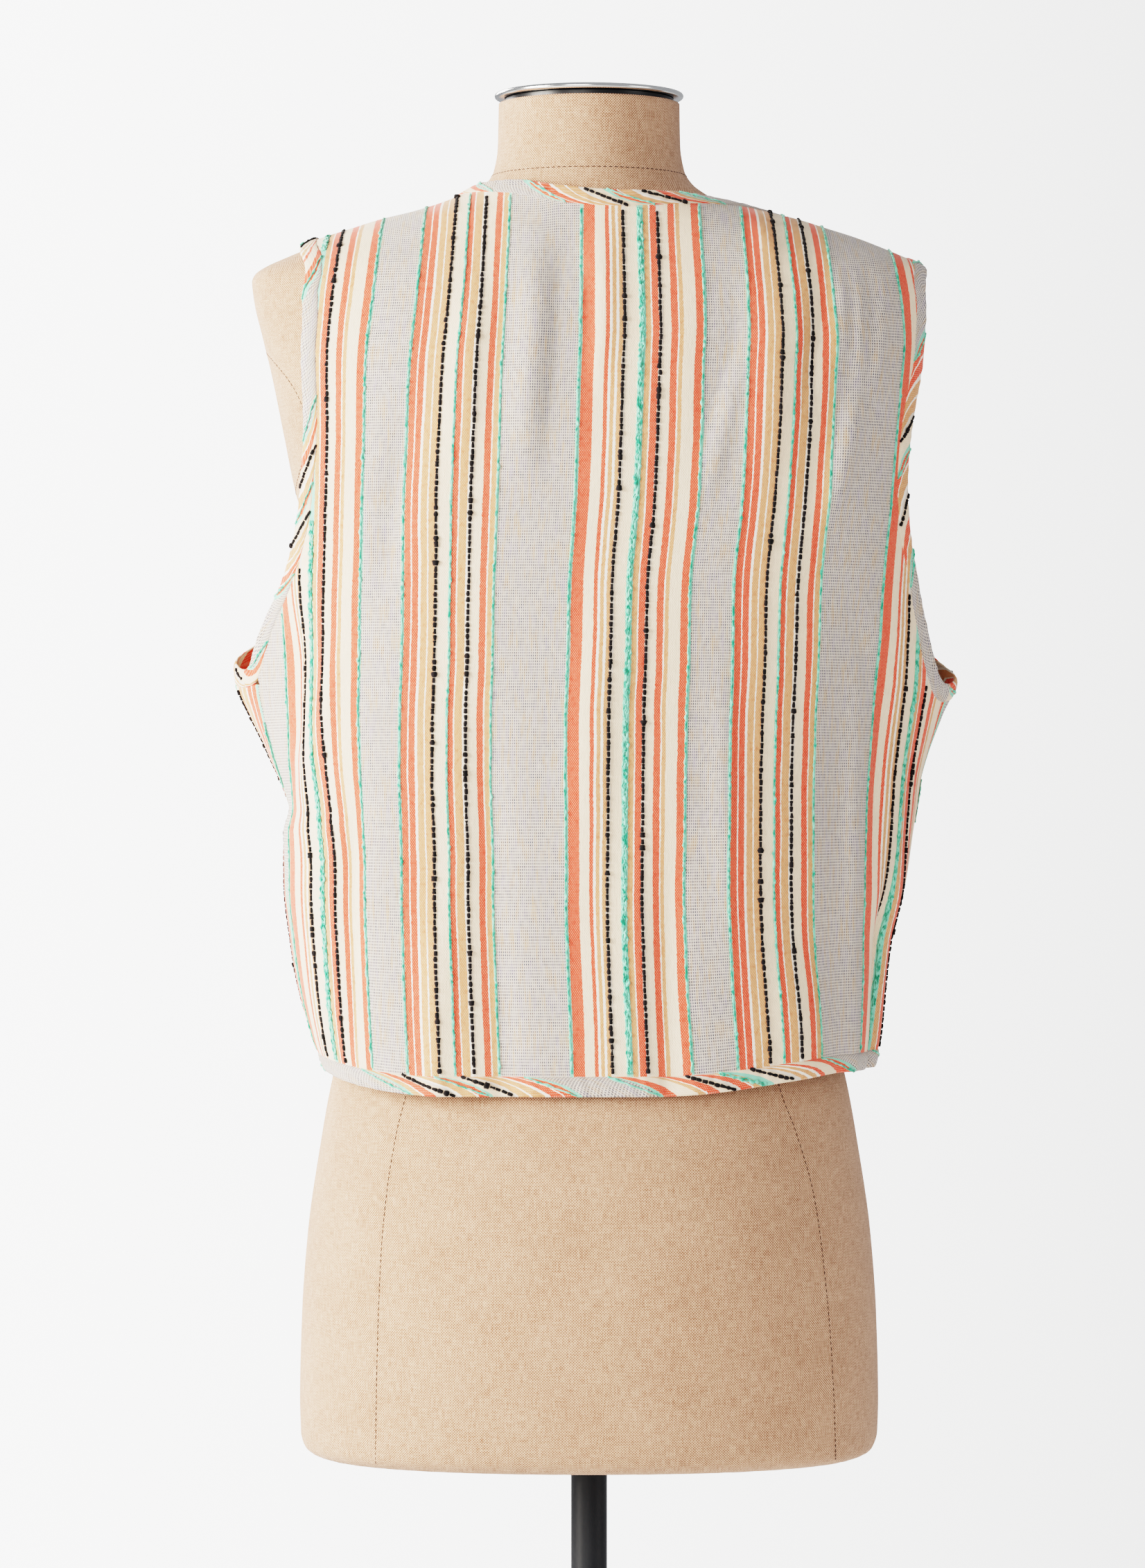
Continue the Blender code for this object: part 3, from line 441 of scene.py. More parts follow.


# The neck cap: a black washer under a round plate of polished steel with a rolled rim, screwed
# down on the neck from above. The washer's black is also painted shade, for the dark gap under the rim.

AXIS = 0.05
CAP_ROLL = 1.6
SHARP_ANGLE = 40.0


def turned_piece(name, profile, steps, material, node):
    """A turned piece: a profile of (radius, height) spun round Z; both ends lie on the axis."""
    radius, height = np.array(profile, float).T
    run = np.concatenate(([0.0], np.cumsum(np.hypot(np.diff(radius), np.diff(height)))))
    turn = np.linspace(-math.pi, math.pi, steps + 1)
    points = np.stack((radius[:, None] * np.sin(turn), -radius[:, None] * np.cos(turn),
                       height[:, None] + 0 * turn), axis=-1)
    uv = np.stack(np.broadcast_arrays(turn[None] * 0.05, run[:, None] * MM), axis=-1)
    piece = grid_piece(name, points[:, :-1], uv, material, closed_round=True, ends=(True, True))
    piece.data.set_sharp_from_angle(angle=math.radians(SHARP_ANGLE))
    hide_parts(node)
    return piece


def arc(centre, radius, first, last, count):
    """Points of a round corner in a profile, from one angle to another in degrees."""
    turn = np.radians(np.linspace(first, last, count))
    return [(centre[0] + radius * math.cos(t), centre[1] + radius * math.sin(t)) for t in turn]


def steel_finish():
    """Polished steel: soft smears change its tone and its gloss."""
    finish = Finish("polished_steel", metallic=1.0)
    position = finish.position()
    smear = finish.noise(position, 40.0, 4.0)
    colour = finish.mix(smear, linear((206, 206, 206)), linear((232, 232, 230)))
    return finish.connect(Base_Color=colour, Roughness=0.10 + smear * 0.12)


def black_finish(name, roughness):
    """Satin black: a fine stipple in the gloss and a few lighter scuffs."""
    finish = Finish(name)
    position = finish.position()
    stipple = finish.noise(position, 700.0, 2.0)
    scuff = finish.noise(position, 25.0, 5.0)
    colour = finish.mix(scuff, linear((24, 25, 28)), linear((44, 46, 50)))
    return finish.connect(Base_Color=colour, Roughness=roughness + (stipple - 0.5) * 0.15,
                          height=stipple * (0.02 * MM))


STEEL, BLACK = steel_finish(), black_finish("black_enamel", 0.34)


def node_box(node):
    """A solid's lowest and highest corner, in millimetres."""
    return [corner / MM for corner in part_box(node)]


def rod_profile(low, high):
    """The profile of a plain round rod or disc that fills a solid's box."""
    return [(AXIS, low.z), (high.x, low.z), (high.x, high.z), (AXIS, high.z)]


cap_low, cap_high = node_box("neck_cap")
roll_centre = (cap_high.x - CAP_ROLL, cap_low.z + CAP_ROLL)
turned_piece(
    "cap_plate",
    [(AXIS, cap_low.z), (roll_centre[0], cap_low.z)] + arc(roll_centre, CAP_ROLL, -90, 90, 12)
    + [(cap_high.x - 4.0, cap_low.z + 3.0), (cap_high.x - 9.0, cap_low.z + 3.3),
       (cap_high.x * 0.5, cap_high.z - 0.3), (AXIS, cap_high.z)],
    128, STEEL, "neck_cap")
# A black washer under the cap; its black also paints the shade in the gap between the neck and the cap.
turned_piece("neck_washer", rod_profile(*node_box("neck_spacer")), 96, BLACK, "neck_spacer")


# The stand: a straight steel tube, enamelled satin black, that stands in the collar of a weighted
# round base and slides up into the socket under the form.

BASE_BLACK = black_finish("black_base", 0.45)
BORE_GAP = 0.35
pole_box, base_top = node_box("pole"), node_box("base")[1]
turned_piece("pole_tube", rod_profile(*pole_box), 64, BLACK, "pole")
bore = pole_box[1].x + BORE_GAP
turned_piece(
    "base_plate",
    [(AXIS, 0.0), (base_top.x - 1.2, 0.0)] + arc((base_top.x - 1.6, 2.6), 1.6, -60, 80, 8)
    + [(163.0, 7.6), (110.0, 10.0), (26.0, 13.3)] + arc((26.0, 19.8), 6.5, -90, -180, 8)
    + [(19.5, base_top.z - 1.5)] + arc((18.0, base_top.z - 1.5), 1.5, 0, 90, 5)
    + [(bore + 0.5, base_top.z), (bore, base_top.z - 0.5), (bore, 6.0), (AXIS, 6.0)],
    160, BASE_BLACK, "base")


# The vest: a sleeveless open vest of handwoven striped cotton, cut in a back and two fronts. It hangs
# from the shoulders clear of the waist, so all its pieces lie on one surface of angle round the body
# and height, which the folds move out and in.

HEM_HEIGHT = 926.0
HEM_DIP = 12.0
HEM_DIP_TOP = 1080.0
HEM_DIP_MIDDLE = -8.0
HEM_DIP_REACH = 66.0
HEM_DIP_FALL = 45.0
FLARE_REACH = 26.0
BINDING_WIDTH = 11.0
EDGE_POINTS = 400
# How far the cloth runs on under its bindings, as a share of their width
UNDER_BINDING = 0.3
# The vest below its shoulders; above them it follows the form's own sections
VEST_COLUMNS = (
    "height", "left", "right", "back", "front",
    "power_left", "power_right", "flare_left", "flare_right", "grain",
)
VEST_SECTIONS = (
    (900.0, 153.5, 162.0, 111.5, 131.0, 3.0, 2.5, 0.0, 0.0, 14.0),
    (917.0, 153.5, 163.5, 111.0, 131.5, 3.0, 2.5, 0.0, 0.0, 14.0),
    (945.0, 163.5, 168.5, 110.5, 132.5, 3.0, 2.5, 0.0, 0.0, 13.0),
    (975.0, 171.5, 171.5, 110.0, 134.0, 3.1, 2.4, 0.0, 0.0, 12.0),
    (1000.0, 175.5, 174.0, 109.5, 135.0, 3.2, 2.35, 0.0, 1.0, 11.0),
    (1035.0, 179.0, 183.0, 108.5, 136.0, 3.3, 2.3, 0.0, 3.0, 10.0),
    (1065.0, 178.5, 186.0, 108.0, 136.5, 3.3, 2.25, 0.5, 4.5, 10.0),
    (1079.0, 174.5, 187.2, 107.7, 136.8, 3.3, 2.2, 1.5, 5.5, 10.0),
    (1095.0, 176.0, 188.5, 107.5, 137.0, 3.3, 2.2, 5.5, 6.5, 10.0),
    (1112.0, 179.0, 191.0, 107.0, 137.0, 3.2, 2.15, 10.0, 8.7, 10.5),
    (1134.0, 179.5, 196.0, 106.8, 137.0, 3.1, 2.1, 20.0, 12.0, 11.0),
    (1154.0, 180.0, 199.5, 106.5, 136.5, 3.0, 2.1, 28.0, 16.5, 12.0),
    (1180.0, 181.5, 200.0, 106.0, 135.5, 2.9, 2.2, 26.0, 13.0, 13.0),
    (1200.0, 183.5, 199.0, 105.5, 133.5, 2.8, 2.3, 18.0, 8.0, 13.5),
    (1230.0, 185.5, 197.0, 104.5, 128.0, 2.7, 2.5, 8.0, 3.0, 14.5),
    (1260.0, 187.0, 196.5, 103.4, 116.5, 2.7, 2.6, 2.0, 0.5, 15.5),
    (1300.0, 189.0, 198.0, 101.2, 99.8, 2.6, 2.6, 0.0, 0.0, 17.0),
    (1334.0, 192.5, 200.5, 96.0, 86.0, 2.55, 2.55, 0.0, 0.0, 18.0),
    (1357.0, 196.0, 202.0, 90.3, 77.8, 2.45, 2.45, 0.0, 0.0, 19.0),
    (1378.0, 199.8, 202.8, 83.8, 71.2, 2.35, 2.35, 0.0, 0.0, 19.0),
)
# Above this height the vest follows the form's sections, moved out by the lift
SHOULDER_START = 1390.0
CLOTH_LIFT = 1.5
SHOULDER_GRAIN = 17.0

# Soft folds: the cloth moves out (+) or in (-) by depth, on a line between two heights.
# u is the distance along the cloth from the middle of the back, to the right.
# Each row is (u_low, u_high, low, high, half_width, depth).
FOLDS = (
    (190.0, 186.0, 880.0, 1060.0, 8.0, -9.0),
    (133.0, 140.0, 930.0, 1230.0, 9.0, -2.2),
    (-200.0, -196.0, 1080.0, 1215.0, 13.0, -5.5),
    (84.0, 92.0, 1250.0, 1400.0, 17.0, 3.0),
    (56.0, 60.0, 1230.0, 1420.0, 12.0, -2.4),
    (-34.0, -28.0, 1240.0, 1436.0, 16.0, -2.6),
    (-222.0, -230.0, 890.0, 1070.0, 14.0, -5.0),
    (116.0, 108.0, 890.0, 1010.0, 16.0, 3.0),
    (-330.0, -322.0, 890.0, 1210.0, 18.0, 4.5),
    (-378.0, -372.0, 890.0, 1130.0, 14.0, -3.5),
    (318.0, 312.0, 890.0, 1200.0, 17.0, 4.0),
    (362.0, 358.0, 890.0, 1120.0, 15.0, -3.5),
)
# Shallower creases that the cloth has as well, in the same columns
CREASES = (
    (-150.0, -146.0, 930.0, 1120.0, 7.0, -2.3),
    (-104.0, -96.0, 890.0, 1040.0, 9.0, 2.9),
    (-62.0, -70.0, 900.0, 1180.0, 11.0, -2.7),
    (-12.0, -6.0, 1010.0, 1240.0, 13.0, 2.0),
    (31.0, 36.0, 890.0, 1090.0, 9.0, -2.5),
    (72.0, 64.0, 960.0, 1190.0, 8.0, 2.0),
    (152.0, 149.0, 890.0, 1170.0, 7.0, 2.8),
    (168.0, 172.0, 1010.0, 1200.0, 7.0, -2.4),
    (206.0, 203.0, 900.0, 1080.0, 8.0, 2.4),
    (121.0, 138.0, 1225.0, 1330.0, 8.0, 2.1),
    (104.0, 122.0, 1300.0, 1402.0, 6.0, -1.9),
    (150.0, 158.0, 1305.0, 1399.0, 6.0, 2.5),
    (129.0, 128.0, 1322.0, 1403.0, 5.0, 2.2),
    (141.0, 139.0, 1312.0, 1401.0, 4.5, 2.4),
    (169.0, 166.0, 1320.0, 1394.0, 5.0, 1.2),
    (-54.0, -48.0, 1250.0, 1436.0, 12.0, 5.0),
    (50.0, 68.0, 1246.0, 1345.0, 7.0, 3.0),
    (126.0, 144.0, 1240.0, 1335.0, 7.0, 3.0),
    (92.0, 78.0, 1392.0, 1432.0, 7.0, 1.6),
    (-92.0, -84.0, 1260.0, 1405.0, 12.0, 2.8),
    (-134.0, -122.0, 1180.0, 1330.0, 10.0, -2.8),
    (-14.0, -8.0, 1300.0, 1440.0, 9.0, 2.5),
    (-176.0, -158.0, 1090.0, 1190.0, 7.0, 1.6),
    (168.0, 140.0, 1120.0, 1210.0, 7.0, -1.6),
    (-282.0, -286.0, 890.0, 1120.0, 9.0, 1.9),
    (-352.0, -349.0, 960.0, 1240.0, 10.0, -1.4),
    (-410.0, -402.0, 890.0, 1080.0, 9.0, 1.6),
    (262.0, 268.0, 890.0, 1110.0, 10.0, 1.9),
    (340.0, 334.0, 930.0, 1230.0, 10.0, -1.5),
    (392.0, 386.0, 890.0, 1070.0, 9.0, 1.5),
)

# Edges of the cloth in the order they are bound, each row as (face, x, height). The face "ridge" is
# the shoulder line or the side.
LEFT_ARMHOLE = (
    ("back", -201.0, 1161.0),
    ("back", -195.5, 1176.0),
    ("back", -187.0, 1195.0),
    ("back", -176.5, 1217.0),
    ("back", -169.5, 1245.0),
    ("back", -166.5, 1275.0),
    ("back", -165.5, 1310.0),
    ("back", -167.0, 1345.0),
    ("back", -166.8, 1376.0),
    ("back", -166.5, 1398.0),
    ("ridge", -166.0, 1410.0),
    ("front", -163.0, 1397.0),
    ("front", -155.0, 1366.0),
    ("front", -149.0, 1332.0),
    ("front", -149.0, 1296.0),
    ("front", -155.0, 1260.0),
    ("front", -166.0, 1226.0),
    ("front", -181.0, 1199.0),
    ("front", -194.0, 1179.0),
    ("ridge", -208.0, 1166.0),
)
RIGHT_ARMHOLE = (
    ("back", 208.0, 1153.0),
    ("back", 201.0, 1170.0),
    ("back", 196.0, 1190.0),
    ("back", 191.0, 1214.0),
    ("back", 186.0, 1243.0),
    ("back", 184.8, 1272.0),
    ("back", 188.0, 1305.0),
    ("back", 194.0, 1338.0),
    ("back", 196.5, 1366.0),
    ("back", 196.5, 1386.0),
    ("ridge", 195.0, 1397.5),
    ("front", 186.0, 1386.0),
    ("front", 175.0, 1358.0),
    ("front", 168.0, 1325.0),
    ("front", 167.0, 1290.0),
    ("front", 172.0, 1254.0),
    ("front", 182.0, 1220.0),
    ("front", 194.0, 1192.0),
    ("front", 204.0, 1170.0),
    ("ridge", 214.0, 1156.5),
)
NECK_AND_FRONT_EDGE = (
    ("front", -16.0, 926.0),
    ("front", -14.0, 990.0),
    ("front", -12.0, 1070.0),
    ("front", -11.0, 1150.0),
    ("front", -10.0, 1220.0),
    ("front", -9.0, 1280.0),
    ("front", -13.0, 1322.0),
    ("front", -29.0, 1360.0),
    ("front", -48.0, 1398.0),
    ("front", -60.0, 1425.0),
    ("ridge", -66.0, 1443.0),
    ("back", -45.0, 1445.0),
    ("back", -20.0, 1441.0),
    ("back", 10.0, 1438.0),
    ("back", 45.0, 1437.5),
    ("back", 72.0, 1435.5),
    ("ridge", 100.0, 1429.5),
    ("front", 91.0, 1412.0),
    ("front", 78.0, 1390.0),
    ("front", 60.0, 1357.0),
    ("front", 44.0, 1322.0),
    ("front", 38.0, 1280.0),
    ("front", 38.0, 1220.0),
    ("front", 39.0, 1150.0),
    ("front", 41.0, 1070.0),
    ("front", 43.0, 990.0),
    ("front", 45.0, 926.0),
)

# The surface is worked out on a lattice of angle round the body and height
LATTICE_ANGLES = np.radians(np.arange(-180.0, 180.5, 0.5))
LATTICE_HEIGHTS = np.arange(900.0, 1451.0, 1.0)
QUARTER = len(LATTICE_ANGLES) // 4
# The lattice's columns on the back (0), the left front (-1) and the right front (1)
SPANS = {0: slice(QUARTER, 3 * QUARTER + 1), -1: slice(0, QUARTER + 1), 1: slice(3 * QUARTER, None)}


def vest_rows():
    """The vest's table, carried over the shoulders on the form's sections, moved out by the lift."""
    rows = list(VEST_SECTIONS)
    for height, half_width, back, front, power in FORM_SECTIONS:
        if SHOULDER_START <= height < 1450.0:
            sides = half_width + CLOTH_LIFT
            rows.append((height + CLOTH_LIFT, sides, sides, back + CLOTH_LIFT + 0.4, front + CLOTH_LIFT + 0.4,
                         power, power, 0.0, 0.0, SHOULDER_GRAIN))
    return tuple(rows)


class VestSurface:
    """The vest as one surface of angle and height, with the distance u along the cloth from mid back."""

    def __init__(self):
        angle, height = np.meshgrid(LATTICE_ANGLES, LATTICE_HEIGHTS)
        row = section_columns(VEST_COLUMNS, vest_rows(), height)
        right_side = angle > 0
        behind = np.cos(angle) > 0
        half_width = np.where(right_side, row["right"], row["left"])
        power = np.where(right_side, row["power_right"], row["power_left"])
        power = np.where(behind, power, 2.25)
        x, y = level_section(angle, half_width, np.where(behind, row["back"], row["front"]), power)
        flare = np.where(right_side, row["flare_right"], -row["flare_left"])
        x = x + flare * np.exp(-((y / FLARE_REACH) ** 2))
        steps = np.hypot(np.diff(x), np.diff(y))
        along = np.concatenate((np.zeros((len(x), 1)), np.cumsum(steps, axis=1)), axis=1)
        mid_back = slice(len(LATTICE_ANGLES) // 4, 3 * len(LATTICE_ANGLES) // 4)
        origin = [np.interp(g, xs[mid_back], ss[mid_back]) for g, xs, ss in zip(row["grain"][:, 0], x, along)]
        self.u = along - np.array(origin)[:, None]
        tangent_x, tangent_y = np.gradient(x, axis=1), np.gradient(y, axis=1)
        length = np.hypot(tangent_x, tangent_y)
        push = self.fold_push(height)
        x = x + push * tangent_y / length
        y = y - push * tangent_x / length
        self.x, self.y = self.laid_on_form(x, y)

    def laid_on_form(self, x, y):
        """Each section again, moved out to clear the form by the lift where it would come nearer."""
        place = form_points(*np.meshgrid(LATTICE_ANGLES, np.minimum(LATTICE_HEIGHTS, FORM_TOP)))
        bearing = np.arctan2(place[..., 0], -place[..., 1])
        reach = np.hypot(place[..., 0], place[..., 1])
        toward = np.arctan2(x, -y)
        needed = np.array([np.interp(t, b, r) for t, b, r in zip(toward, bearing, reach)]) + CLOTH_LIFT
        grow = np.maximum(1.0, needed / np.hypot(x, y))
        return x * grow, y * grow

    def fold_push(self, height):
        """The sum of all folds: a bell across the cloth times a soft start and end in height."""
        push = np.zeros_like(self.u)
        for u_low, u_high, low, high, half_width, depth in FOLDS + CREASES:
            t = np.clip((height - low) / (high - low), 0.0, 1.0)
            line = u_low + (u_high - u_low) * t
            ends_on_hem = low < HEM_HEIGHT
            fade = np.clip((1.0 - t) * 2.5, 0.0, 1.0) * (1.0 if ends_on_hem else np.clip(t * 2.5, 0.0, 1.0))
            push += depth * np.exp(-(((self.u - line) / half_width) ** 2)) * fade * fade * (3 - 2 * fade)
        return push

    def read(self, field, angle, height):
        """Reads a lattice field between its points."""
        column = (angle - LATTICE_ANGLES[0]) / (LATTICE_ANGLES[1] - LATTICE_ANGLES[0])
        row = height - LATTICE_HEIGHTS[0]
        i = np.clip(row.astype(int), 0, field.shape[0] - 2)
        j = np.clip(column.astype(int), 0, field.shape[1] - 2)
        s, t = row - i, column - j
        low = field[i, j] * (1 - t) + field[i, j + 1] * t
        high = field[i + 1, j] * (1 - t) + field[i + 1, j + 1] * t
        return low * (1 - s) + high * s

    def points(self, angle, height):
        """Places on the surface. The hem hangs a little lower at mid back than at the sides."""
        angle, height = np.broadcast_arrays(np.asarray(angle, float), np.asarray(height, float))
        fade = np.clip((HEM_DIP_TOP - height) / (HEM_DIP_TOP - HEM_HEIGHT), 0.0, 1.0)
        away = np.abs(np.degrees(angle) - HEM_DIP_MIDDLE)
        beside = np.clip((HEM_DIP_REACH - away) / HEM_DIP_FALL, 0.0, 1.0)
        dip = HEM_DIP * fade * beside * beside * (3 - 2 * beside)
        x, y = self.read(self.x, angle, height), self.read(self.y, angle, height)
        return np.stack((x, y, height - dip), axis=-1)

    def directions(self, angle, height):
        """How a place moves for each radian round the body and for each millimetre up."""
        step_angle, step_height = 0.03, 3.0
        round_body = self.points(angle + step_angle, height) - self.points(angle - step_angle, height)
        up_body = self.points(angle, height + step_height) - self.points(angle, height - step_height)
        return round_body / (2 * step_angle), up_body / (2 * step_height)

    def raised(self, angle, height, distance):
        """Places moved out of the surface, square to it, by a distance."""
        round_body, up_body = self.directions(angle, height)
        normal = np.cross(round_body, up_body)
        return self.points(angle, height) + distance * normal / np.linalg.norm(normal, axis=-1, keepdims=True)

    def row_fields(self, height):
        at = np.full(len(LATTICE_ANGLES), float(height))
        return self.read(self.x, LATTICE_ANGLES, at), self.read(self.u, LATTICE_ANGLES, at)

    def angle_at_x(self, face, x, height):
        """The angle where the section at this height passes x, on its back or its front."""
        if face == "ridge":
            return np.pi / 2 if x > 0 else -np.pi / 2
        xs, _ = self.row_fields(height)
        if face == "back":
            return float(np.interp(x, xs[SPANS[0]], LATTICE_ANGLES[SPANS[0]]))
        span = SPANS[1 if x > 0 else -1]
        return float(np.interp(-x, -xs[span], LATTICE_ANGLES[span]))

    def front_angle(self, x, height, side):
        """As angle_at_x on the front, on the side named, so that x may pass the middle."""
        xs, _ = self.row_fields(height)
        return float(np.interp(-x, -xs[SPANS[side]], LATTICE_ANGLES[SPANS[side]]))

    def move_aside(self, path, distance, closed):
        """A path of (angle, height) moved sideways over the cloth, to its right as seen from outside."""
        moved = np.array(path, float)
        steps = 4
        for _ in range(steps):
            places = self.points(moved[:, 0], moved[:, 1])
            if closed:
                tangent = np.roll(places, -1, axis=0) - np.roll(places, 1, axis=0)
            else:
                tangent = np.gradient(places, axis=0)
            round_body, up_body = self.directions(moved[:, 0], moved[:, 1])
            aside = np.cross(tangent, np.cross(round_body, up_body))
            aside *= distance / steps / np.linalg.norm(aside, axis=1, keepdims=True)
            rr, ru, uu = (np.sum(p * q, axis=1) for p, q in
                          ((round_body, round_body), (round_body, up_body), (up_body, up_body)))
            ra, ua = np.sum(round_body * aside, axis=1), np.sum(up_body * aside, axis=1)
            moved[:, 0] += (ra * uu - ua * ru) / (rr * uu - ru * ru)
            moved[:, 1] += (ua * rr - ra * ru) / (rr * uu - ru * ru)
        return moved


def curve_through(knots, count, closed):
    """A Catmull-Rom curve through the knots, read at even steps of its length."""
    knots = np.array(knots, float)
    if closed:
        knots = np.vstack((knots[-1:], knots, knots[:2]))
    else:
        knots = np.vstack((2 * knots[0] - knots[1], knots, 2 * knots[-1] - knots[-2]))
    fine = []
    t = np.linspace(0.0, 1.0, 24, endpoint=False)[:, None]
    for a, b, c, d in zip(knots[:-3], knots[1:-2], knots[2:-1], knots[3:]):
        curve = 2 * b + (c - a) * t + (2 * a - 5 * b + 4 * c - d) * t**2 + (3 * b - a - 3 * c + d) * t**3
        fine.append(0.5 * curve)
    fine = np.vstack((*fine, knots[-2:-1]))
    scaled = fine * np.array((120.0, 1.0))
    length = np.concatenate(([0.0], np.cumsum(np.linalg.norm(np.diff(scaled, axis=0), axis=1))))
    at = np.linspace(0.0, length[-1], count + 1)[:-1] if closed else np.linspace(0.0, length[-1], count)
    return np.stack([np.interp(at, length, fine[:, i]) for i in range(2)], axis=1)


def read_path(path, at):
    """A path read at fractional places in its list of points."""
    return np.stack([np.interp(at, np.arange(len(path)), path[:, i]) for i in range(2)], axis=-1)


# How far each side seam lies toward the back from the foot of its armhole
SEAM_BACK = {-1: 11.5, 1: 0.0}


class Armhole:
    """One armhole: its edge, its stitch line inside the edge, and the rim under the binding where the cloth
    ends. All three are lists of (angle, height), once round from the lowest point."""

    def __init__(self, surface, knots, side):
        self.side = side
        placed = [(surface.angle_at_x(face, x, height), height) for face, x, height in knots]
        edge = curve_through(placed, EDGE_POINTS, closed=True)
        stitch = surface.move_aside(edge, -BINDING_WIDTH * side, closed=True)
        order = list(range(EDGE_POINTS)) + [0]
        lowest = int(np.argmin(stitch[:, 1]))
        self.edge, self.stitch = (np.roll(line, -lowest, axis=0)[order] for line in (edge, stitch))
        self.rim = self.stitch + (self.edge - self.stitch) * UNDER_BINDING
        self.top = int(np.argmax(self.rim[:, 1]))
        self.low, self.high = self.rim[0, 1], self.rim[self.top, 1]
        foot_u = float(surface.read(surface.u, self.stitch[:1, 0], self.stitch[:1, 1])[0])
        self.seam_u = foot_u - side * SEAM_BACK[side]

    def limits(self, surface, heights, face, line="rim"):
        """The angles at which a panel ends on this side: on the side seam, the rim or the shoulder seam."""
        path = self.rim if line == "rim" else self.stitch
        top = int(np.argmax(path[:, 1]))
        half = np.arange(top + 1) if face == "back" else np.arange(EDGE_POINTS, top - 1, -1)
        hole = np.interp(heights, np.maximum.accumulate(path[half, 1]), path[half, 0])
        rows = [surface.row_fields(height)[1] for height in heights]
        side_seam = np.array([np.interp(self.seam_u, row, LATTICE_ANGLES) for row in rows])
        if face == "back":
            hole = np.maximum(hole, side_seam) if self.side < 0 else np.minimum(hole, side_seam)
        shoulder_seam = np.full(len(heights), path[top, 0])
        above_foot = np.where(heights >= path[top, 1], shoulder_seam, hole)
        return np.where(heights <= path[0, 1], side_seam, above_foot)


class FrontEdge:
    """The bound edge that runs up the left front, round the back of the neck and down the right front."""

    def __init__(self, surface):
        placed = []
        for i, (face, x, height) in enumerate(NECK_AND_FRONT_EDGE):
            side = -1 if i < len(NECK_AND_FRONT_EDGE) // 2 else 1
            angle = (surface.front_angle(x, height, side) if face == "front"
                     else surface.angle_at_x(face, x, height))
            placed.append((angle, height))
        self.edge = curve_through(placed, EDGE_POINTS, closed=False)
        self.stitch = surface.move_aside(self.edge, BINDING_WIDTH, closed=False)
        self.rim = self.stitch + (self.edge - self.stitch) * UNDER_BINDING
        self.behind = np.flatnonzero(np.abs(self.rim[:, 0]) < np.pi / 2)
        self.round_neck = np.flatnonzero(np.abs(self.rim[:, 0]) < np.radians(105.0))

    def limits(self, heights, side, line="rim"):
        """The angles at which a front ends on its open side."""
        path = self.rim if line == "rim" else self.stitch
        first, last = self.behind[0], self.behind[-1]
        half = np.arange(first + 1) if side < 0 else np.arange(EDGE_POINTS - 1, last - 1, -1)
        return np.interp(heights, np.maximum.accumulate(path[half, 1]), path[half, 0])

    def neckline(self, angle, line="rim"):
        """The height of the rim round the back of the neck."""
        path = self.rim if line == "rim" else self.stitch
        angles, heights = path[self.round_neck].T
        return np.interp(angle, angles, heights)


# The handwoven cotton: a warp of coral, beige, cream, black, white and mint stripes with bands of open
# grey weave between them. Over the shoulders each stripe stays in one upright plane.

SHOULDER_TURN = 1378.0
DRAWN_IN = 0.05
REPEAT_START = -24.4
STRIPE_COLOURS = {
    "mint": (150, 214, 190),
    "coral": (246, 88, 62),
    "cream": (245, 223, 197),
    "white": (250, 240, 226),
    "beige": (219, 156, 110),
    "slub": (226, 214, 200),
    "grey": (218, 207, 197),
}
# The repeat from left to right, as (colour, width)
STRIPES = (
    ("mint", 1.5), ("coral", 7.2), ("cream", 5.5), ("coral", 2.4), ("white", 1.1), ("beige", 2.7),
    ("white", 0.9), ("beige", 2.4), ("slub", 2.1), ("cream", 7.0), ("mint", 3.3), ("beige", 2.7),
    ("white", 1.0), ("coral", 3.8), ("slub", 1.9), ("cream", 4.2), ("coral", 3.6), ("white", 1.0),
    ("beige", 2.5), ("cream", 6.5), ("coral", 3.9), ("mint", 1.7), ("grey", 23.4),
    ("mint", 1.5), ("coral", 3.6), ("white", 1.1), ("coral", 3.6), ("white", 0.9), ("beige", 3.6),
    ("white", 0.9), ("beige", 3.7), ("slub", 1.8), ("cream", 6.6), ("mint", 1.5), ("coral", 2.6),
    ("white", 1.0), ("beige", 4.1), ("white", 1.1), ("slub", 1.9), ("cream", 4.8), ("coral", 3.7),
    ("white", 0.8), ("beige", 3.2), ("mint", 1.5), ("grey", 41.0),
)
REPEAT = sum(width for _, width in STRIPES)
# Thread pitches of the open grey weave, and of the close weave of the other stripes
OPEN_WARP = 1.19
OPEN_WEFT = 1.62
CLOSE_WARP = 0.6
CLOSE_WEFT = 0.85
FIRST_RAMP = 23
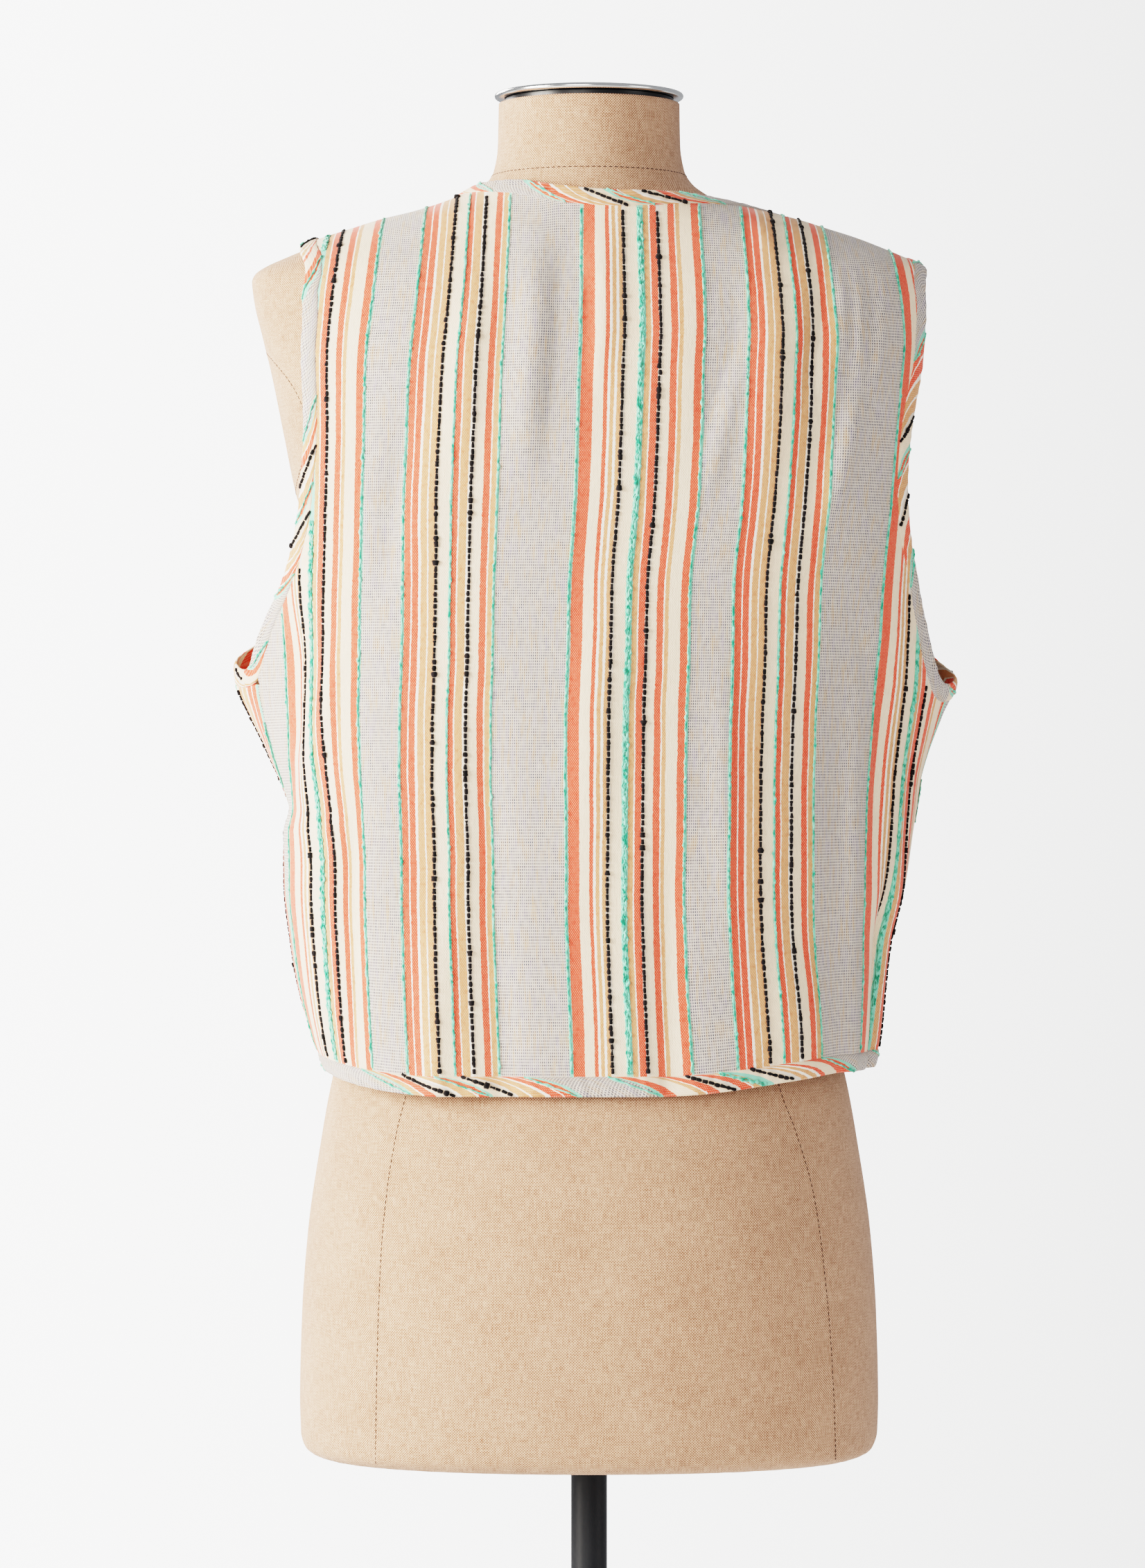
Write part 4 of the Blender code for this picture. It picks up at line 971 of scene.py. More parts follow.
# How far to the right the hang of the cloth carries its stripes: by height, at places across the back
DRIFT_PLACES = (-245.0, -177.0, -118.0, -66.0, 10.0, 69.0, 121.0, 163.0, 229.0)
DRIFT_COLUMNS = ("height", "a", "b", "c", "d", "e", "f", "g", "h", "i")
DRIFT = (
    (900.0, 0.0, 7.0, 0.0, 1.0, -0.5, 3.5, 4.5, -2.0, 0.0),
    (945.0, 0.0, 7.5, 0.0, 1.0, -0.5, 3.2, 4.0, -3.0, 0.0),
    (985.0, 0.0, 8.5, 0.0, 0.7, -0.8, 1.6, 2.6, -1.0, 0.0),
    (1045.0, 0.0, 9.5, 0.2, 0.7, -0.4, 0.8, 1.0, -5.0, 0.0),
    (1085.0, 0.0, 3.0, -1.0, -0.5, 0.0, 1.2, 1.3, -3.0, 0.0),
    (1145.0, 0.0, -3.4, -2.2, -1.7, -0.8, 1.2, 1.4, -0.3, 0.0),
    (1205.0, 0.0, -5.4, -3.2, -2.5, -1.2, 0.4, 0.6, 0.6, 0.0),
    (1265.0, 0.0, -5.0, -4.9, -2.1, 1.2, 4.0, 3.2, 5.0, 0.0),
    (1345.0, 0.0, -6.5, -3.5, -2.1, 1.2, 4.4, 4.8, 9.0, 0.0),
    (1378.0, 0.0, -3.5, -0.5, -0.8, 0.8, 4.1, 3.0, 5.0, 0.0),
)


def stripe_starts():
    """Where each stripe of the repeat starts, in millimetres from the repeat's start."""
    return np.concatenate(([0.0], np.cumsum([width for _, width in STRIPES])))


def drifted(surface):
    """u less the drift of the stripes at each place of the lattice: between the table's rows and places the
    drift is a smooth curve."""
    rows = section_columns(DRIFT_COLUMNS, DRIFT, np.minimum(LATTICE_HEIGHTS, SHOULDER_TURN))
    drift = np.stack([rows[name] for name in DRIFT_COLUMNS[1:]], axis=1)
    places = np.array(DRIFT_PLACES)
    inside = np.clip(surface.u, places[0], places[-1])
    return surface.u - np.array([smooth_rows(places, row, at) for row, at in zip(drift, inside)])


# The x of the warp yarn that hangs plumb on each front, and where the yarns turn from the seam's line to it
FRONT_PLUMB = 120.0
TURN_FROM, TURN_OVER = 22.0, 85.0


def plumb_shift(surface, side, span):
    """How far a front's warp yarns lie from their distance to the side seam, so that they hang plumb."""
    reach = [np.interp(-side * FRONT_PLUMB, np.maximum.accumulate(-x), u)
             for x, u in zip(surface.x[:, span], surface.u[:, span])]
    away = np.abs(surface.u - armholes[side].seam_u)
    share = np.clip((away - TURN_FROM) / TURN_OVER, 0.0, 1.0)
    share = share * share * (3.0 - 2.0 * share)
    return (np.array(reach) - np.mean(reach[:int(SHOULDER_TURN - LATTICE_HEIGHTS[0])]))[:, None] * share


def cloth_fields(surface, side):
    """The cloth's own coordinates at each place of the lattice: across the warp and along it, for the back
    (side 0) or a front. Up to the shoulder they are u less the drift, and height. Over it a warp yarn keeps
    the x that it had there, a little drawn in, and its length goes on up the slope."""
    drift_u = drifted(surface)
    span = SPANS[side]
    sign = 1.0 if side == 0 else -1.0
    if side:
        drift_u = drift_u - plumb_shift(surface, side, span)
    turn = int(SHOULDER_TURN - LATTICE_HEIGHTS[0])
    above = np.maximum(LATTICE_HEIGHTS - SHOULDER_TURN, 0.0)[:, None]
    x_turn = np.maximum.accumulate(sign * surface.x[turn, span])
    drawn = sign * surface.x / (1.0 - DRAWN_IN * above / 62.0)
    warp = np.where(above > 0, np.interp(drawn, x_turn, drift_u[turn, span]), drift_u)
    y_turn = np.interp(warp, drift_u[turn, span], surface.y[turn, span])
    slope = SHOULDER_TURN + np.hypot(above, surface.y - y_turn)
    along = np.where(above > 0, slope, np.broadcast_to(LATTICE_HEIGHTS[:, None], warp.shape))
    return warp, along


def striped_finish(name):
    """The striped cotton, from the piece's UV map: across the warp and along it, in metres. Two colour
    ramps hold the repeat. The grey bands are an open plain weave whose holes are painted dark, as painted
    shade seen through them, and coral and beige show specks of weft."""
    finish = Finish(name, roughness=0.88, sheen=0.25)
    u, v = finish.uv()
    across, along = u * 1000.0, v * 1000.0
    wobble_fine = finish.noise(finish.vector(across * 0.9, along * 0.55), 1.0, 3.0)
    wobble_long = finish.noise(finish.vector(across * 0.05, along * 0.02), 1.0, 2.0)
    shifted = across + (wobble_fine - 0.5) * 1.1 + (wobble_long - 0.5) * 1.6
    place = ((shifted - REPEAT_START) / REPEAT).math("FRACT")
    starts = stripe_starts() / REPEAT
    colours, kinds = [], []
    for name_of, start in zip([stripe for stripe, _ in STRIPES], starts):
        colours.append((float(start), linear(STRIPE_COLOURS[name_of])))
        kind = {"grey": (1, 0, 0, 1), "coral": (0, 1, 0, 1), "beige": (0, 1, 0, 1), "cream": (0, 0, 1, 1)}
        kinds.append((float(start), kind.get(name_of, (0, 0, 0, 1))))
    halves = (slice(0, FIRST_RAMP), slice(FIRST_RAMP, None))
    ramps = [[finish.node("ShaderNodeValToRGB", {"stops": rows[half], "interpolation": "CONSTANT"},
                          {0: place})[0] for half in halves] for rows in (colours, kinds)]
    second_half = place.math("GREATER_THAN", float(starts[FIRST_RAMP]))
    colour, kind = (finish.mix(second_half, *pair) for pair in ramps)
    is_grey, is_speckled, is_cream = finish.node("ShaderNodeSeparateColor", {}, {0: kind})[:3]

    fleck = finish.noise(finish.vector(across * 0.35, along * 0.22), 1.0, 4.0)
    # The holes of the open grey weave: painted shade, a dark grey for the shadow seen through them; they are
    # sunk a little too.
    hole_u = ((across * (2 * math.pi / OPEN_WARP)).math("COSINE") + 0.42) * 2.2
    hole_v = ((along * (2 * math.pi / OPEN_WEFT)).math("COSINE") + 0.55) * 2.2
    shaded_hole = hole_u.clamped() * hole_v.clamped() * is_grey
    depth = (0.2 + fleck * 1.3).math("MINIMUM", 1.0)
    colour = finish.mix(shaded_hole * depth, colour, linear((96, 95, 104)))
    tint = finish.noise(finish.vector(across * 0.5, along * 0.06), 1.0, 3.0)
    ochre = ((tint - 0.52) * 6.0).clamped() * is_grey
    colour = finish.mix(ochre * 0.4, colour, linear((206, 164, 112)))
    lilac = ((0.46 - tint) * 6.0).clamped() * is_grey
    colour = finish.mix(lilac * 0.34, colour, linear((176, 164, 190)))

    fine_weave = plain_weave(across, along, CLOSE_WARP, CLOSE_WEFT)
    speck = finish.noise(finish.vector(across * 0.5, along * 0.35), 1.0, 3.0)
    white = (fine_weave - 0.22 + (speck - 0.5) * 0.8) * 2.5
    white = white.clamped() * is_speckled
    colour = finish.mix(white * 0.38, colour, linear((250, 226, 204)))
    tan = (fine_weave * -1.0 - 0.2 + (speck - 0.5) * 1.0) * 2.5
    tan = tan.clamped() * is_cream
    colour = finish.mix(tan * 0.28, colour, linear((214, 170, 128)))
    deep = ((0.46 - speck) * 4.0).clamped() * is_speckled
    colour = finish.mix(deep * 0.4, colour, linear((196, 84, 66)), "MULTIPLY")

    slub = finish.noise(finish.vector(across * 1.6, along * 0.16), 1.0, 3.0)
    shade = 0.79 + slub * 0.38
    shades = finish.node("ShaderNodeCombineColor", {}, {0: shade, 1: shade, 2: shade})[0]
    colour = finish.mix(1.0, colour, shades, "MULTIPLY")
    height = fine_weave * 0.5 - shaded_hole * 1.2 + slub * is_cream * 2.2 + speck
    return finish.connect(Base_Color=colour, height=height * (0.11 * MM))


STRIPED = striped_finish("striped_cotton")
vest_surface = VestSurface()
armholes = {-1: Armhole(vest_surface, LEFT_ARMHOLE, -1), 1: Armhole(vest_surface, RIGHT_ARMHOLE, 1)}
front_edge = FrontEdge(vest_surface)


# The back: one panel from side seam to side seam, cut along the warp. Its edges run a little way under
# the bindings, and it rolls in at the side and shoulder seams.

CLOTH_OUTSIDE = 1.2
CLOTH_INSIDE = 0.3
NEAR_EDGE = np.array((0.0, 0.5, 1.1, 1.8, 2.8))
EDGE_MARGIN = 5.0
SEAM_ROLL = 1.0
SEAM_ROLL_REACH = 1.3
BACK_COLUMNS = 150
FRONT_COLUMNS = 92
ROW_STEP = 2.5
SHOULDER_ROW_STEP = 1.1


def shell(name, outer, inner, uv, material):
    """A thin shell of cloth: its outer and inner grids of points, joined round their rims."""
    rows, columns = outer.shape[:2]
    index = np.arange(rows * columns).reshape(rows, columns)
    under = index + rows * columns

    def strip(a, b):
        return np.stack((a[:-1], a[1:], b[1:], b[:-1]), axis=-1).reshape(-1, 4)

    faces = [grid_quads(index), grid_quads(under[:, ::-1])]
    faces += [strip(under[0], index[0]), strip(index[-1], under[-1])]
    faces += [strip(index[:, 0], under[:, 0]), strip(under[:, -1], index[:, -1])]
    faces = np.concatenate(faces)
    points = np.concatenate((outer.reshape(-1, 3), inner.reshape(-1, 3)))
    corner_uv = uv.reshape(-1, 2)[faces.ravel() % (rows * columns)]
    piece = add_piece(name, points, faces.tolist(), material, corner_uv)
    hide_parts(name.replace("cloth_", "vest_"))
    return piece


def panel_columns(surface, first, last, heights, count):
    """Angles across each row: closer steps near both ends, even steps of cloth between them. Also the
    distances of each column from both ends."""
    angles, from_first, from_last = [], [], []
    for a, b, height in zip(first, last, heights):
        _, along = surface.row_fields(height)
        low, high = np.interp((a, b), LATTICE_ANGLES, along)
        scale = min(1.0, (high - low) / (4 * EDGE_MARGIN))
        near, margin = NEAR_EDGE * scale, EDGE_MARGIN * scale
        at = np.concatenate((low + near, np.linspace(low + margin, high - margin, count), high - near[::-1]))
        angles.append(np.interp(at, along, LATTICE_ANGLES))
        from_first.append(at - low)
        from_last.append(high - at)
    return np.array(angles), np.array(from_first), np.array(from_last)


def panel_heights(low, top):
    """Rows from the hem to the top, closer over the shoulders."""
    body = np.arange(low, SHOULDER_TURN, ROW_STEP)
    shoulder = np.arange(SHOULDER_TURN, top, SHOULDER_ROW_STEP)
    return np.concatenate((body, shoulder, [top]))


def roll(distance, on_seam):
    """How far the cloth dips in at a seam, by the distance from it."""
    return SEAM_ROLL * np.exp(-((distance / SEAM_ROLL_REACH) ** 2)) * on_seam[:, None]


def back_panel(surface):
    left, right = armholes[-1], armholes[1]
    top = float(front_edge.rim[front_edge.behind, 1].max())
    rows = panel_heights(HEM_HEIGHT + BINDING_WIDTH * (1 - UNDER_BINDING), top)
    first, last = (hole.limits(surface, rows, "back") for hole in (left, right))
    angles, from_first, from_last = panel_columns(surface, first, last, rows, BACK_COLUMNS)
    bend_start = max(left.high, right.high)
    share = np.clip((rows - bend_start) / (top - bend_start), 0.0, 1.0)[:, None]
    levels = rows[:, None] + (front_edge.neckline(angles) - top) * share
    warp, along = cloth_fields(surface, 0)
    uv = np.stack([surface.read(field, angles, levels) for field in (warp, along)], axis=-1) * MM
    dip = sum(roll(distance, (rows < hole.low) | (rows > hole.high))
              for distance, hole in ((from_first, left), (from_last, right)))
    outer = surface.raised(angles, levels, (CLOTH_OUTSIDE - dip)[..., None])
    inner = surface.raised(angles, levels, (CLOTH_INSIDE - dip)[..., None])
    return shell("cloth_back", outer, inner, uv, STRIPED)


back_cloth = back_panel(vest_surface)


# The fronts: two panels, cut along the warp. Their stripes meet the back's at the side seams.

# Where the repeat stands at each front's side seam, and whether it goes on (1) or back (-1) from there
FRONT_PATTERN = {-1: (67.2, 1.0), 1: (armholes[1].seam_u, 1.0)}
PANEL_POINT = 2.0


def front_panel(surface, side):
    hole = armholes[side]
    top = float(front_edge.neckline(hole.rim[hole.top, 0])) - PANEL_POINT
    rows = panel_heights(HEM_HEIGHT + BINDING_WIDTH * (1 - UNDER_BINDING), top)
    inner_end = front_edge.limits(rows, side)
    outer_end = hole.limits(surface, rows, "front")
    ends = (inner_end, outer_end) if side < 0 else (outer_end, inner_end)
    angles, from_first, from_last = panel_columns(surface, *ends, rows, FRONT_COLUMNS)
    levels = np.broadcast_to(rows[:, None], angles.shape)
    warp, along = cloth_fields(surface, side)
    start, way = FRONT_PATTERN[side]
    across = start + way * side * (surface.read(warp, angles, levels) - hole.seam_u)
    uv = np.stack((across, surface.read(along, angles, levels)), axis=-1) * MM
    dip = roll(from_last if side < 0 else from_first, (rows < hole.low) | (rows > hole.high))
    outer = surface.raised(angles, levels, (CLOTH_OUTSIDE - dip)[..., None])
    inner = surface.raised(angles, levels, (CLOTH_INSIDE - dip)[..., None])
    name = "cloth_front_left" if side < 0 else "cloth_front_right"
    return shell(name, outer, inner, uv, STRIPED)


front_cloths = {side: front_panel(vest_surface, side) for side in (-1, 1)}


# The bindings: strips of the same cloth, cut on the slant, folded over every edge and stitched down.

# The folded strip's section: share of its width from the stitch line to the edge, and height
BINDING_SECTION = np.array((
    (0.0, 0.9), (0.02, 1.35), (0.08, 1.75), (0.25, 2.05), (0.5, 2.15), (0.75, 2.05), (0.9, 1.75),
    (0.98, 1.2), (1.0, 0.6), (0.98, 0.0), (0.9, -0.4), (0.5, -0.6), (0.08, -0.6), (0.0, -0.3),
))
BINDING_STEP = 1.6
# The stripes on each binding: how fast the repeat runs for each millimetre along the strip and across it,
# and a place on the back where a stripe stands: on which axis, where, and how far it is in the repeat
BINDING_STRIPES = {
    "armhole_left": (0.49, 1.3, 2, 1225.0, 74.0),
    "armhole_right": (-0.38, 0.76, 2, 1341.0, 68.0),
    "neck_and_front": (0.524, 1.45, 0, -42.8, 52.0),
    "hem": (-0.524, 1.45, 0, -126.0, 117.5),
}


class BoundEdge:
    """A folded strip along an edge, from its stitch line to the edge, with small puckers. A place on it is
    a distance along it and a share of its width."""

    def __init__(self, name, surface, stitch, edge, seed, closed=False):
        self.name, self.surface, self.stitch, self.edge, self.closed = name, surface, stitch, edge, closed
        places = surface.points(stitch[:, 0], stitch[:, 1])
        self.run = np.concatenate(([0.0], np.cumsum(np.linalg.norm(np.diff(places, axis=0), axis=1))))
        self.length = float(self.run[-1])
        rng = np.random.default_rng(seed)
        self.puckers = [(2 * math.pi * round(self.length / pitch) / self.length, rng.uniform(0, 6.28))
                        for pitch in (7.3, 9.1, 13.7)]
        self.along, self.across, axis, where, value = BINDING_STRIPES[name]
        behind = np.flatnonzero(np.abs(stitch[:, 0]) < np.radians(80.0))
        behind = behind[behind < len(stitch) // 2] if axis == 2 else behind
        place = float(np.interp(where, places[behind, axis], self.run[behind]))
        self.phase = value - self.along * place

    def raised(self, at, share, level):
        """Points at a level above the strip's own cloth surface; the puckers lift only its outside."""
        spot = np.interp(at, self.run, np.arange(len(self.stitch)))
        inner, outer = read_path(self.stitch, spot), read_path(self.edge, spot)
        place = inner + (outer - inner) * share[..., None]
        waves = sum(np.sin(at * rate + start) for rate, start in self.puckers) / 3
        lift = level + 0.28 * waves * np.clip(level, 0.0, 1.0)
        return self.surface.raised(place[..., 0], place[..., 1], lift[..., None])

    def strip(self):
        at = np.linspace(0.0, self.length, int(self.length / BINDING_STEP) + 1)
        share, level = BINDING_SECTION.T
        at, share_grid = np.meshgrid(at, share, indexing="ij")
        points = self.raised(at, share_grid, np.broadcast_to(level, at.shape))
        at = np.concatenate((at, at[:, :1]), axis=1)
        across = np.append(share, 0.0)[None] * BINDING_WIDTH
        warp = self.phase + self.along * at + self.across * across
        uv = np.stack((warp, at * 0.8 + across * 0.6), axis=-1) * MM
        if self.closed:
            points = points[:-1]
        return grid_piece("binding_" + self.name, points[:, ::-1], uv[:, ::-1], STRIPED,
                          closed_run=self.closed, closed_round=True,
                          ends=(not self.closed, not self.closed))

    def crossings(self, offset):
        """Where the yarn at one offset in the repeat crosses the strip: lists of (along it, share)."""
        share = np.linspace(0.0, 0.97, 24)
        found = []
        for repeat in range(-12, 13):
            value = REPEAT_START + offset + repeat * REPEAT
            at = (value - self.phase - self.across * share * BINDING_WIDTH) / self.along
            inside = (at > 0.5) & (at < self.length - 0.5)
            if inside.sum() > 6:
                found.append((at[inside], share[inside]))
        return found


def hem_lines(surface):
    """The hem binding's stitch line and edge, between the front bindings."""
    lines = []
    for height in (HEM_HEIGHT + BINDING_WIDTH, HEM_HEIGHT):
        _, along = surface.row_fields(height)
        ends = [float(np.interp(height, line[:, 1], line[:, 0])) for line in
                (front_edge.stitch[:100], front_edge.stitch[:-100:-1])]
        first, last = np.interp(ends, LATTICE_ANGLES, along)
        u = np.linspace(first + 0.3, last - 0.3, 800)
        lines.append(np.stack((np.interp(u, along, LATTICE_ANGLES), np.full(len(u), height)), axis=1))
    return lines


bound_edges = (
    BoundEdge("armhole_left", vest_surface, armholes[-1].stitch, armholes[-1].edge, 21, closed=True),
    BoundEdge("armhole_right", vest_surface, armholes[1].stitch, armholes[1].edge, 22, closed=True),
    BoundEdge("neck_and_front", vest_surface, front_edge.stitch, front_edge.edge, 23),
    BoundEdge("hem", vest_surface, *hem_lines(vest_surface), 24),
)
BINDING_NODES = ("armhole_binding_left", "armhole_binding_right", "neck_and_front_binding", "hem_binding")
bindings = [bound.strip() for bound in bound_edges]
for strip, node in zip(bindings, BINDING_NODES):
    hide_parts(node)


# The raised yarns, woven in with the warp: a black slub yarn that floats in short dashes between pale
# ties and swells into knots, and mint yarns, thin and knotted at the groups' edges, thick and looped
# in the widest. They cross the bindings on the slant.

BLACK_PITCH = 3.55
BLACK_LENGTH = 3.22
BLACK_RADIUS = 1.0
YARN_STEP = 1.3
# How far the yarns stay clear of a panel's ends, in radians
YARN_MARGIN = 0.012
# The strands of a mint yarn: how far aside, how far each sways, and radius
THIN_MINT = ((-0.2, 0.24, 0.42), (0.25, 0.3, 0.38))
THICK_MINT = ((-1.05, 0.55, 0.5), (-0.35, 0.7, 0.56), (0.4, 0.7, 0.54), (1.1, 0.55, 0.48))
BINDING_THIN_MINT = ((0.0, 0.2, 0.5),)
BINDING_THICK_MINT = ((-0.5, 0.4, 0.52), (0.5, 0.4, 0.52))


def panel_edges(surface, side):
    """A panel's warp field, and the angles at which its yarns go under the bindings or into a seam, at each
    height of the lattice."""
    warp, _ = cloth_fields(surface, side)
    face = "front" if side else "back"
    ends = {key: hole.limits(surface, LATTICE_HEIGHTS, face, "stitch") for key, hole in armholes.items()}
    if side:
        ends[-side] = front_edge.limits(LATTICE_HEIGHTS, side, "stitch")
        return warp, ends[1], ends[-1]
    return warp, ends[-1], ends[1]


def warp_to_angle(edges, side, line):
    """Where the warp yarn at one place across the cloth runs: its angle at each lattice height, and whether
    it shows there, clear of the edges."""
    warp, first, last = edges
    turn = int(SHOULDER_TURN - LATTICE_HEIGHTS[0])
    narrow = SPANS[side]
    angles = np.array([np.interp(line, row if i <= turn else np.maximum.accumulate(row[narrow]),
                                 LATTICE_ANGLES if i <= turn else LATTICE_ANGLES[narrow])
                       for i, row in enumerate(warp)])
    shown = (angles > first + YARN_MARGIN) & (angles < last - YARN_MARGIN)
    shown &= LATTICE_HEIGHTS > HEM_HEIGHT + BINDING_WIDTH
    shown &= LATTICE_HEIGHTS < front_edge.neckline(angles, "stitch") - (0.0 if side else 0.6)
    return angles, shown


def panel_paths(surface, edges, side, offset):
    """Every stretch of the yarns at one offset in the repeat, as lists of points and normals."""
    paths = []
    for repeat in range(-4, 5):
        line = REPEAT_START + offset + repeat * REPEAT
        if side:
            start, way = FRONT_PATTERN[side]
            line = armholes[side].seam_u + side * way * (line - start)
        angles, shown = warp_to_angle(edges, side, line)
        ends = np.flatnonzero(np.diff(np.concatenate(([0], shown.astype(int), [0]))))
        for first, last in zip(ends[::2], ends[1::2]):
            if last - first > 6:
                place = angles[first:last], LATTICE_HEIGHTS[first:last]
                paths.append((surface.raised(*place, CLOTH_OUTSIDE), cloth_normals(surface, *place)))
    return paths


def binding_paths(bound, offset):
    """Where the yarns at one offset in the repeat cross a binding, as lists of points and normals."""
    paths = []
    top_share, top_level = BINDING_SECTION[:9].T
    for at, share in bound.crossings(offset):
        level = np.interp(share, top_share, top_level)
        points = bound.raised(at, share, level)
        normals = bound.raised(at, share, level + 1.0) - points
        paths.append((points, normals / np.linalg.norm(normals, axis=1, keepdims=True)))
    return paths


def path_length(path):
    return np.concatenate(([0.0], np.cumsum(np.linalg.norm(np.diff(path[0], axis=0), axis=1))))


def read_along(path, at):
    """A path's points and normals at distances along it."""
    length = path_length(path)
    return [np.stack([np.interp(at, length, rows[:, i]) for i in range(3)], axis=1) for rows in path]


def cloth_normals(surface, angles, heights):
    normals = np.cross(*surface.directions(angles, heights))
    return normals / np.linalg.norm(normals, axis=-1, keepdims=True)


def stripe_offsets(name, least=0.0, most=99.0):
    """The middles of the stripes of one name whose width lies between two values."""
    return [start + width / 2 for start, (stripe, width) in zip(stripe_starts(), STRIPES)
            if stripe == name and least <= width <= most]


def black_slub(name, paths, seed):
    """Black yarn along paths: rods with gaps, one in fourteen swollen into a knot."""
    rng = np.random.default_rng(seed)
    starts, ends, normals, radii = [], [], [], []
    for path in paths:
        count = int(path_length(path)[-1] / BLACK_PITCH)
        begin = (np.arange(count) + rng.uniform(-0.05, 0.05, count)) * BLACK_PITCH + 0.4
        knot = rng.random(count) < 0.07
        length = BLACK_LENGTH * rng.uniform(0.88, 1.05, count)
        normal = read_along(path, begin + length / 2)[1]
        lift = (0.34 + 0.35 * knot)[:, None] * normal
        starts.append(read_along(path, begin)[0] + lift)
        ends.append(read_along(path, begin + length)[0] + lift)
        normals.append(normal)
        swollen = np.where(knot, rng.uniform(1.25, 1.65, count), 1.0)
        radii.append(BLACK_RADIUS * rng.uniform(0.84, 1.14, count) * swollen)
    starts, ends, normals, radii = (np.concatenate(rows) for rows in (starts, ends, normals, radii))
    aside = np.cross(ends - starts, normals)
    aside /= np.linalg.norm(aside, axis=1, keepdims=True)
    stray = rng.normal(0.0, 0.16, (len(starts), 1)) * aside
    turned = stray * rng.uniform(-0.5, 1.0, (len(starts), 1))
    piece = short_rods(name, starts + stray, ends + turned, normals, radii, 0.72, BLACK_YARN,
                       lumps=0.16, seed=seed, tip=0.72)
    return piece


def tubes(name, paths, sides, material):
    """Tubes along paths of (points, normals, radii) as one mesh, a little flattened, with closed ends."""
    points, faces, start = [], [], 0
    turn = np.arange(sides) * 2 * math.pi / sides
    for centre, normal, radius in paths:
        tangent = np.gradient(centre, axis=0)
        aside = np.cross(tangent, normal)
        aside /= np.linalg.norm(aside, axis=1, keepdims=True)
        cosine, sine = np.cos(turn)[None, :, None], np.sin(turn)[None, :, None]
        ring = cosine * aside[:, None] + 0.8 * sine * normal[:, None]
        points.append((centre[:, None] + radius[:, None, None] * ring).reshape(-1, 3))
        index = start + np.arange(len(centre) * sides).reshape(-1, sides)
        after = np.roll(index, -1, axis=1)
        faces += np.stack((index[:-1], after[:-1], after[1:], index[1:]), axis=-1).reshape(-1, 4).tolist()
        faces += [index[0][::-1].tolist(), index[-1].tolist()]
        start += index.size
    piece = add_piece(name, np.concatenate(points), faces, material)
    return piece


def wander(at, pitches, rng):
    """A sum of sines of random phase, about 1 high."""
    waves = sum(np.sin(at * 2 * math.pi / pitch + rng.uniform(0, 6.28)) for pitch in pitches)
    return waves / len(pitches) * 1.6


def mint_yarns(name, kinds, seed):
    """Mint yarns along paths, each kind with its own strands: they swell into knots and sway."""
    rng = np.random.default_rng(seed)
    strand_paths = []
    for paths, strands in kinds:
        for path in paths:
            at = np.arange(0.4, path_length(path)[-1] - 0.3, YARN_STEP)
            for aside_by, sway, radius in strands:
                points, normals = read_along(path, at)
                knots = np.exp(5.0 * (wander(at, (23.0, 37.0, 9.0, 5.3), rng) - 0.95))
                size = radius * (1.0 + 0.2 * wander(at, (2.9, 4.3, 6.1), rng) + np.minimum(knots, 1.0) * 1.15)
                aside = np.cross(np.gradient(points, axis=0), normals)
                aside /= np.linalg.norm(aside, axis=1, keepdims=True)
                shift = aside_by + sway * wander(at, (3.7, 5.9, 11.0), rng)
                centre = points + aside * shift[:, None] + normals * (0.15 + size * 0.35)[:, None]
                strand_paths.append((centre, normals, np.maximum(size, 0.25)))
    return tubes(name, strand_paths, 5, MINT_YARN)


def yarn_finish(name, dark, light, scale, sheen):
    """Yarn that goes from a dark to a light tone in soft blotches, with a fine twist across it."""
    finish = Finish(name, roughness=0.9, sheen=sheen)
    position = finish.position()
    blotch = finish.noise(position, scale, 3.0)
    tone = ((blotch - 0.36) * 4.5).clamped()
    twist = finish.noise(position, 2600.0, 1.0)
    colour = finish.mix(tone, linear(dark), linear(light))
    return finish.connect(Base_Color=colour, height=twist * (0.15 * MM))


BLACK_YARN = yarn_finish("black_yarn", (13, 10, 12), (34, 28, 31), 300.0, 0.1)
MINT_YARN = yarn_finish("mint_yarn", (46, 160, 126), (148, 226, 198), 320.0, 0.5)
thin_offsets, thick_offsets = stripe_offsets("mint", 0.0, 2.0), stripe_offsets("mint", 3.0)
for place, side, seed in (("back", 0, 31), ("front_left", -1, 32), ("front_right", 1, 33)):
    edges = panel_edges(vest_surface, side)
    found = [[path for offset in offsets for path in panel_paths(vest_surface, edges, side, offset)]
             for offsets in (stripe_offsets("slub"), thin_offsets, thick_offsets)]
    black_slub("black_slub_" + place, found[0], seed)
    mint_yarns("mint_yarn_" + place, ((found[1], THIN_MINT), (found[2], THICK_MINT)), seed + 10)
for bound, seed in zip(bound_edges, (51, 52, 53, 54)):
    found = [[path for offset in offsets for path in binding_paths(bound, offset)]
             for offsets in (stripe_offsets("slub"), thin_offsets, thick_offsets)]
    kinds = ((found[1], BINDING_THIN_MINT), (found[2], BINDING_THICK_MINT))
    black_slub("black_slub_" + bound.name, found[0], seed)
    mint_yarns("mint_yarn_" + bound.name, kinds, seed + 10)


# The UV map of each panel, read back from its mesh.


def declare_panel(piece):
    """Reads a panel's UV map from its mesh."""
    mesh = piece.data
    uv = np.empty(len(mesh.loops) * 2, np.float32)
    mesh.uv_layers["cloth"].data.foreach_get("uv", uv)


declare_panel(back_cloth)
for side, place in ((-1, "front_left"), (1, "front_right")):
    declare_panel(front_cloths[side])


# The setting: a pale floor, a large soft light from the left, and weaker ones from the front, the
# right and behind.

CAMERA_PLACE = (-0.0098, -3.2, 1.093)
CAMERA_LENS = 124.16
FLOOR_RADIUS = 3.6
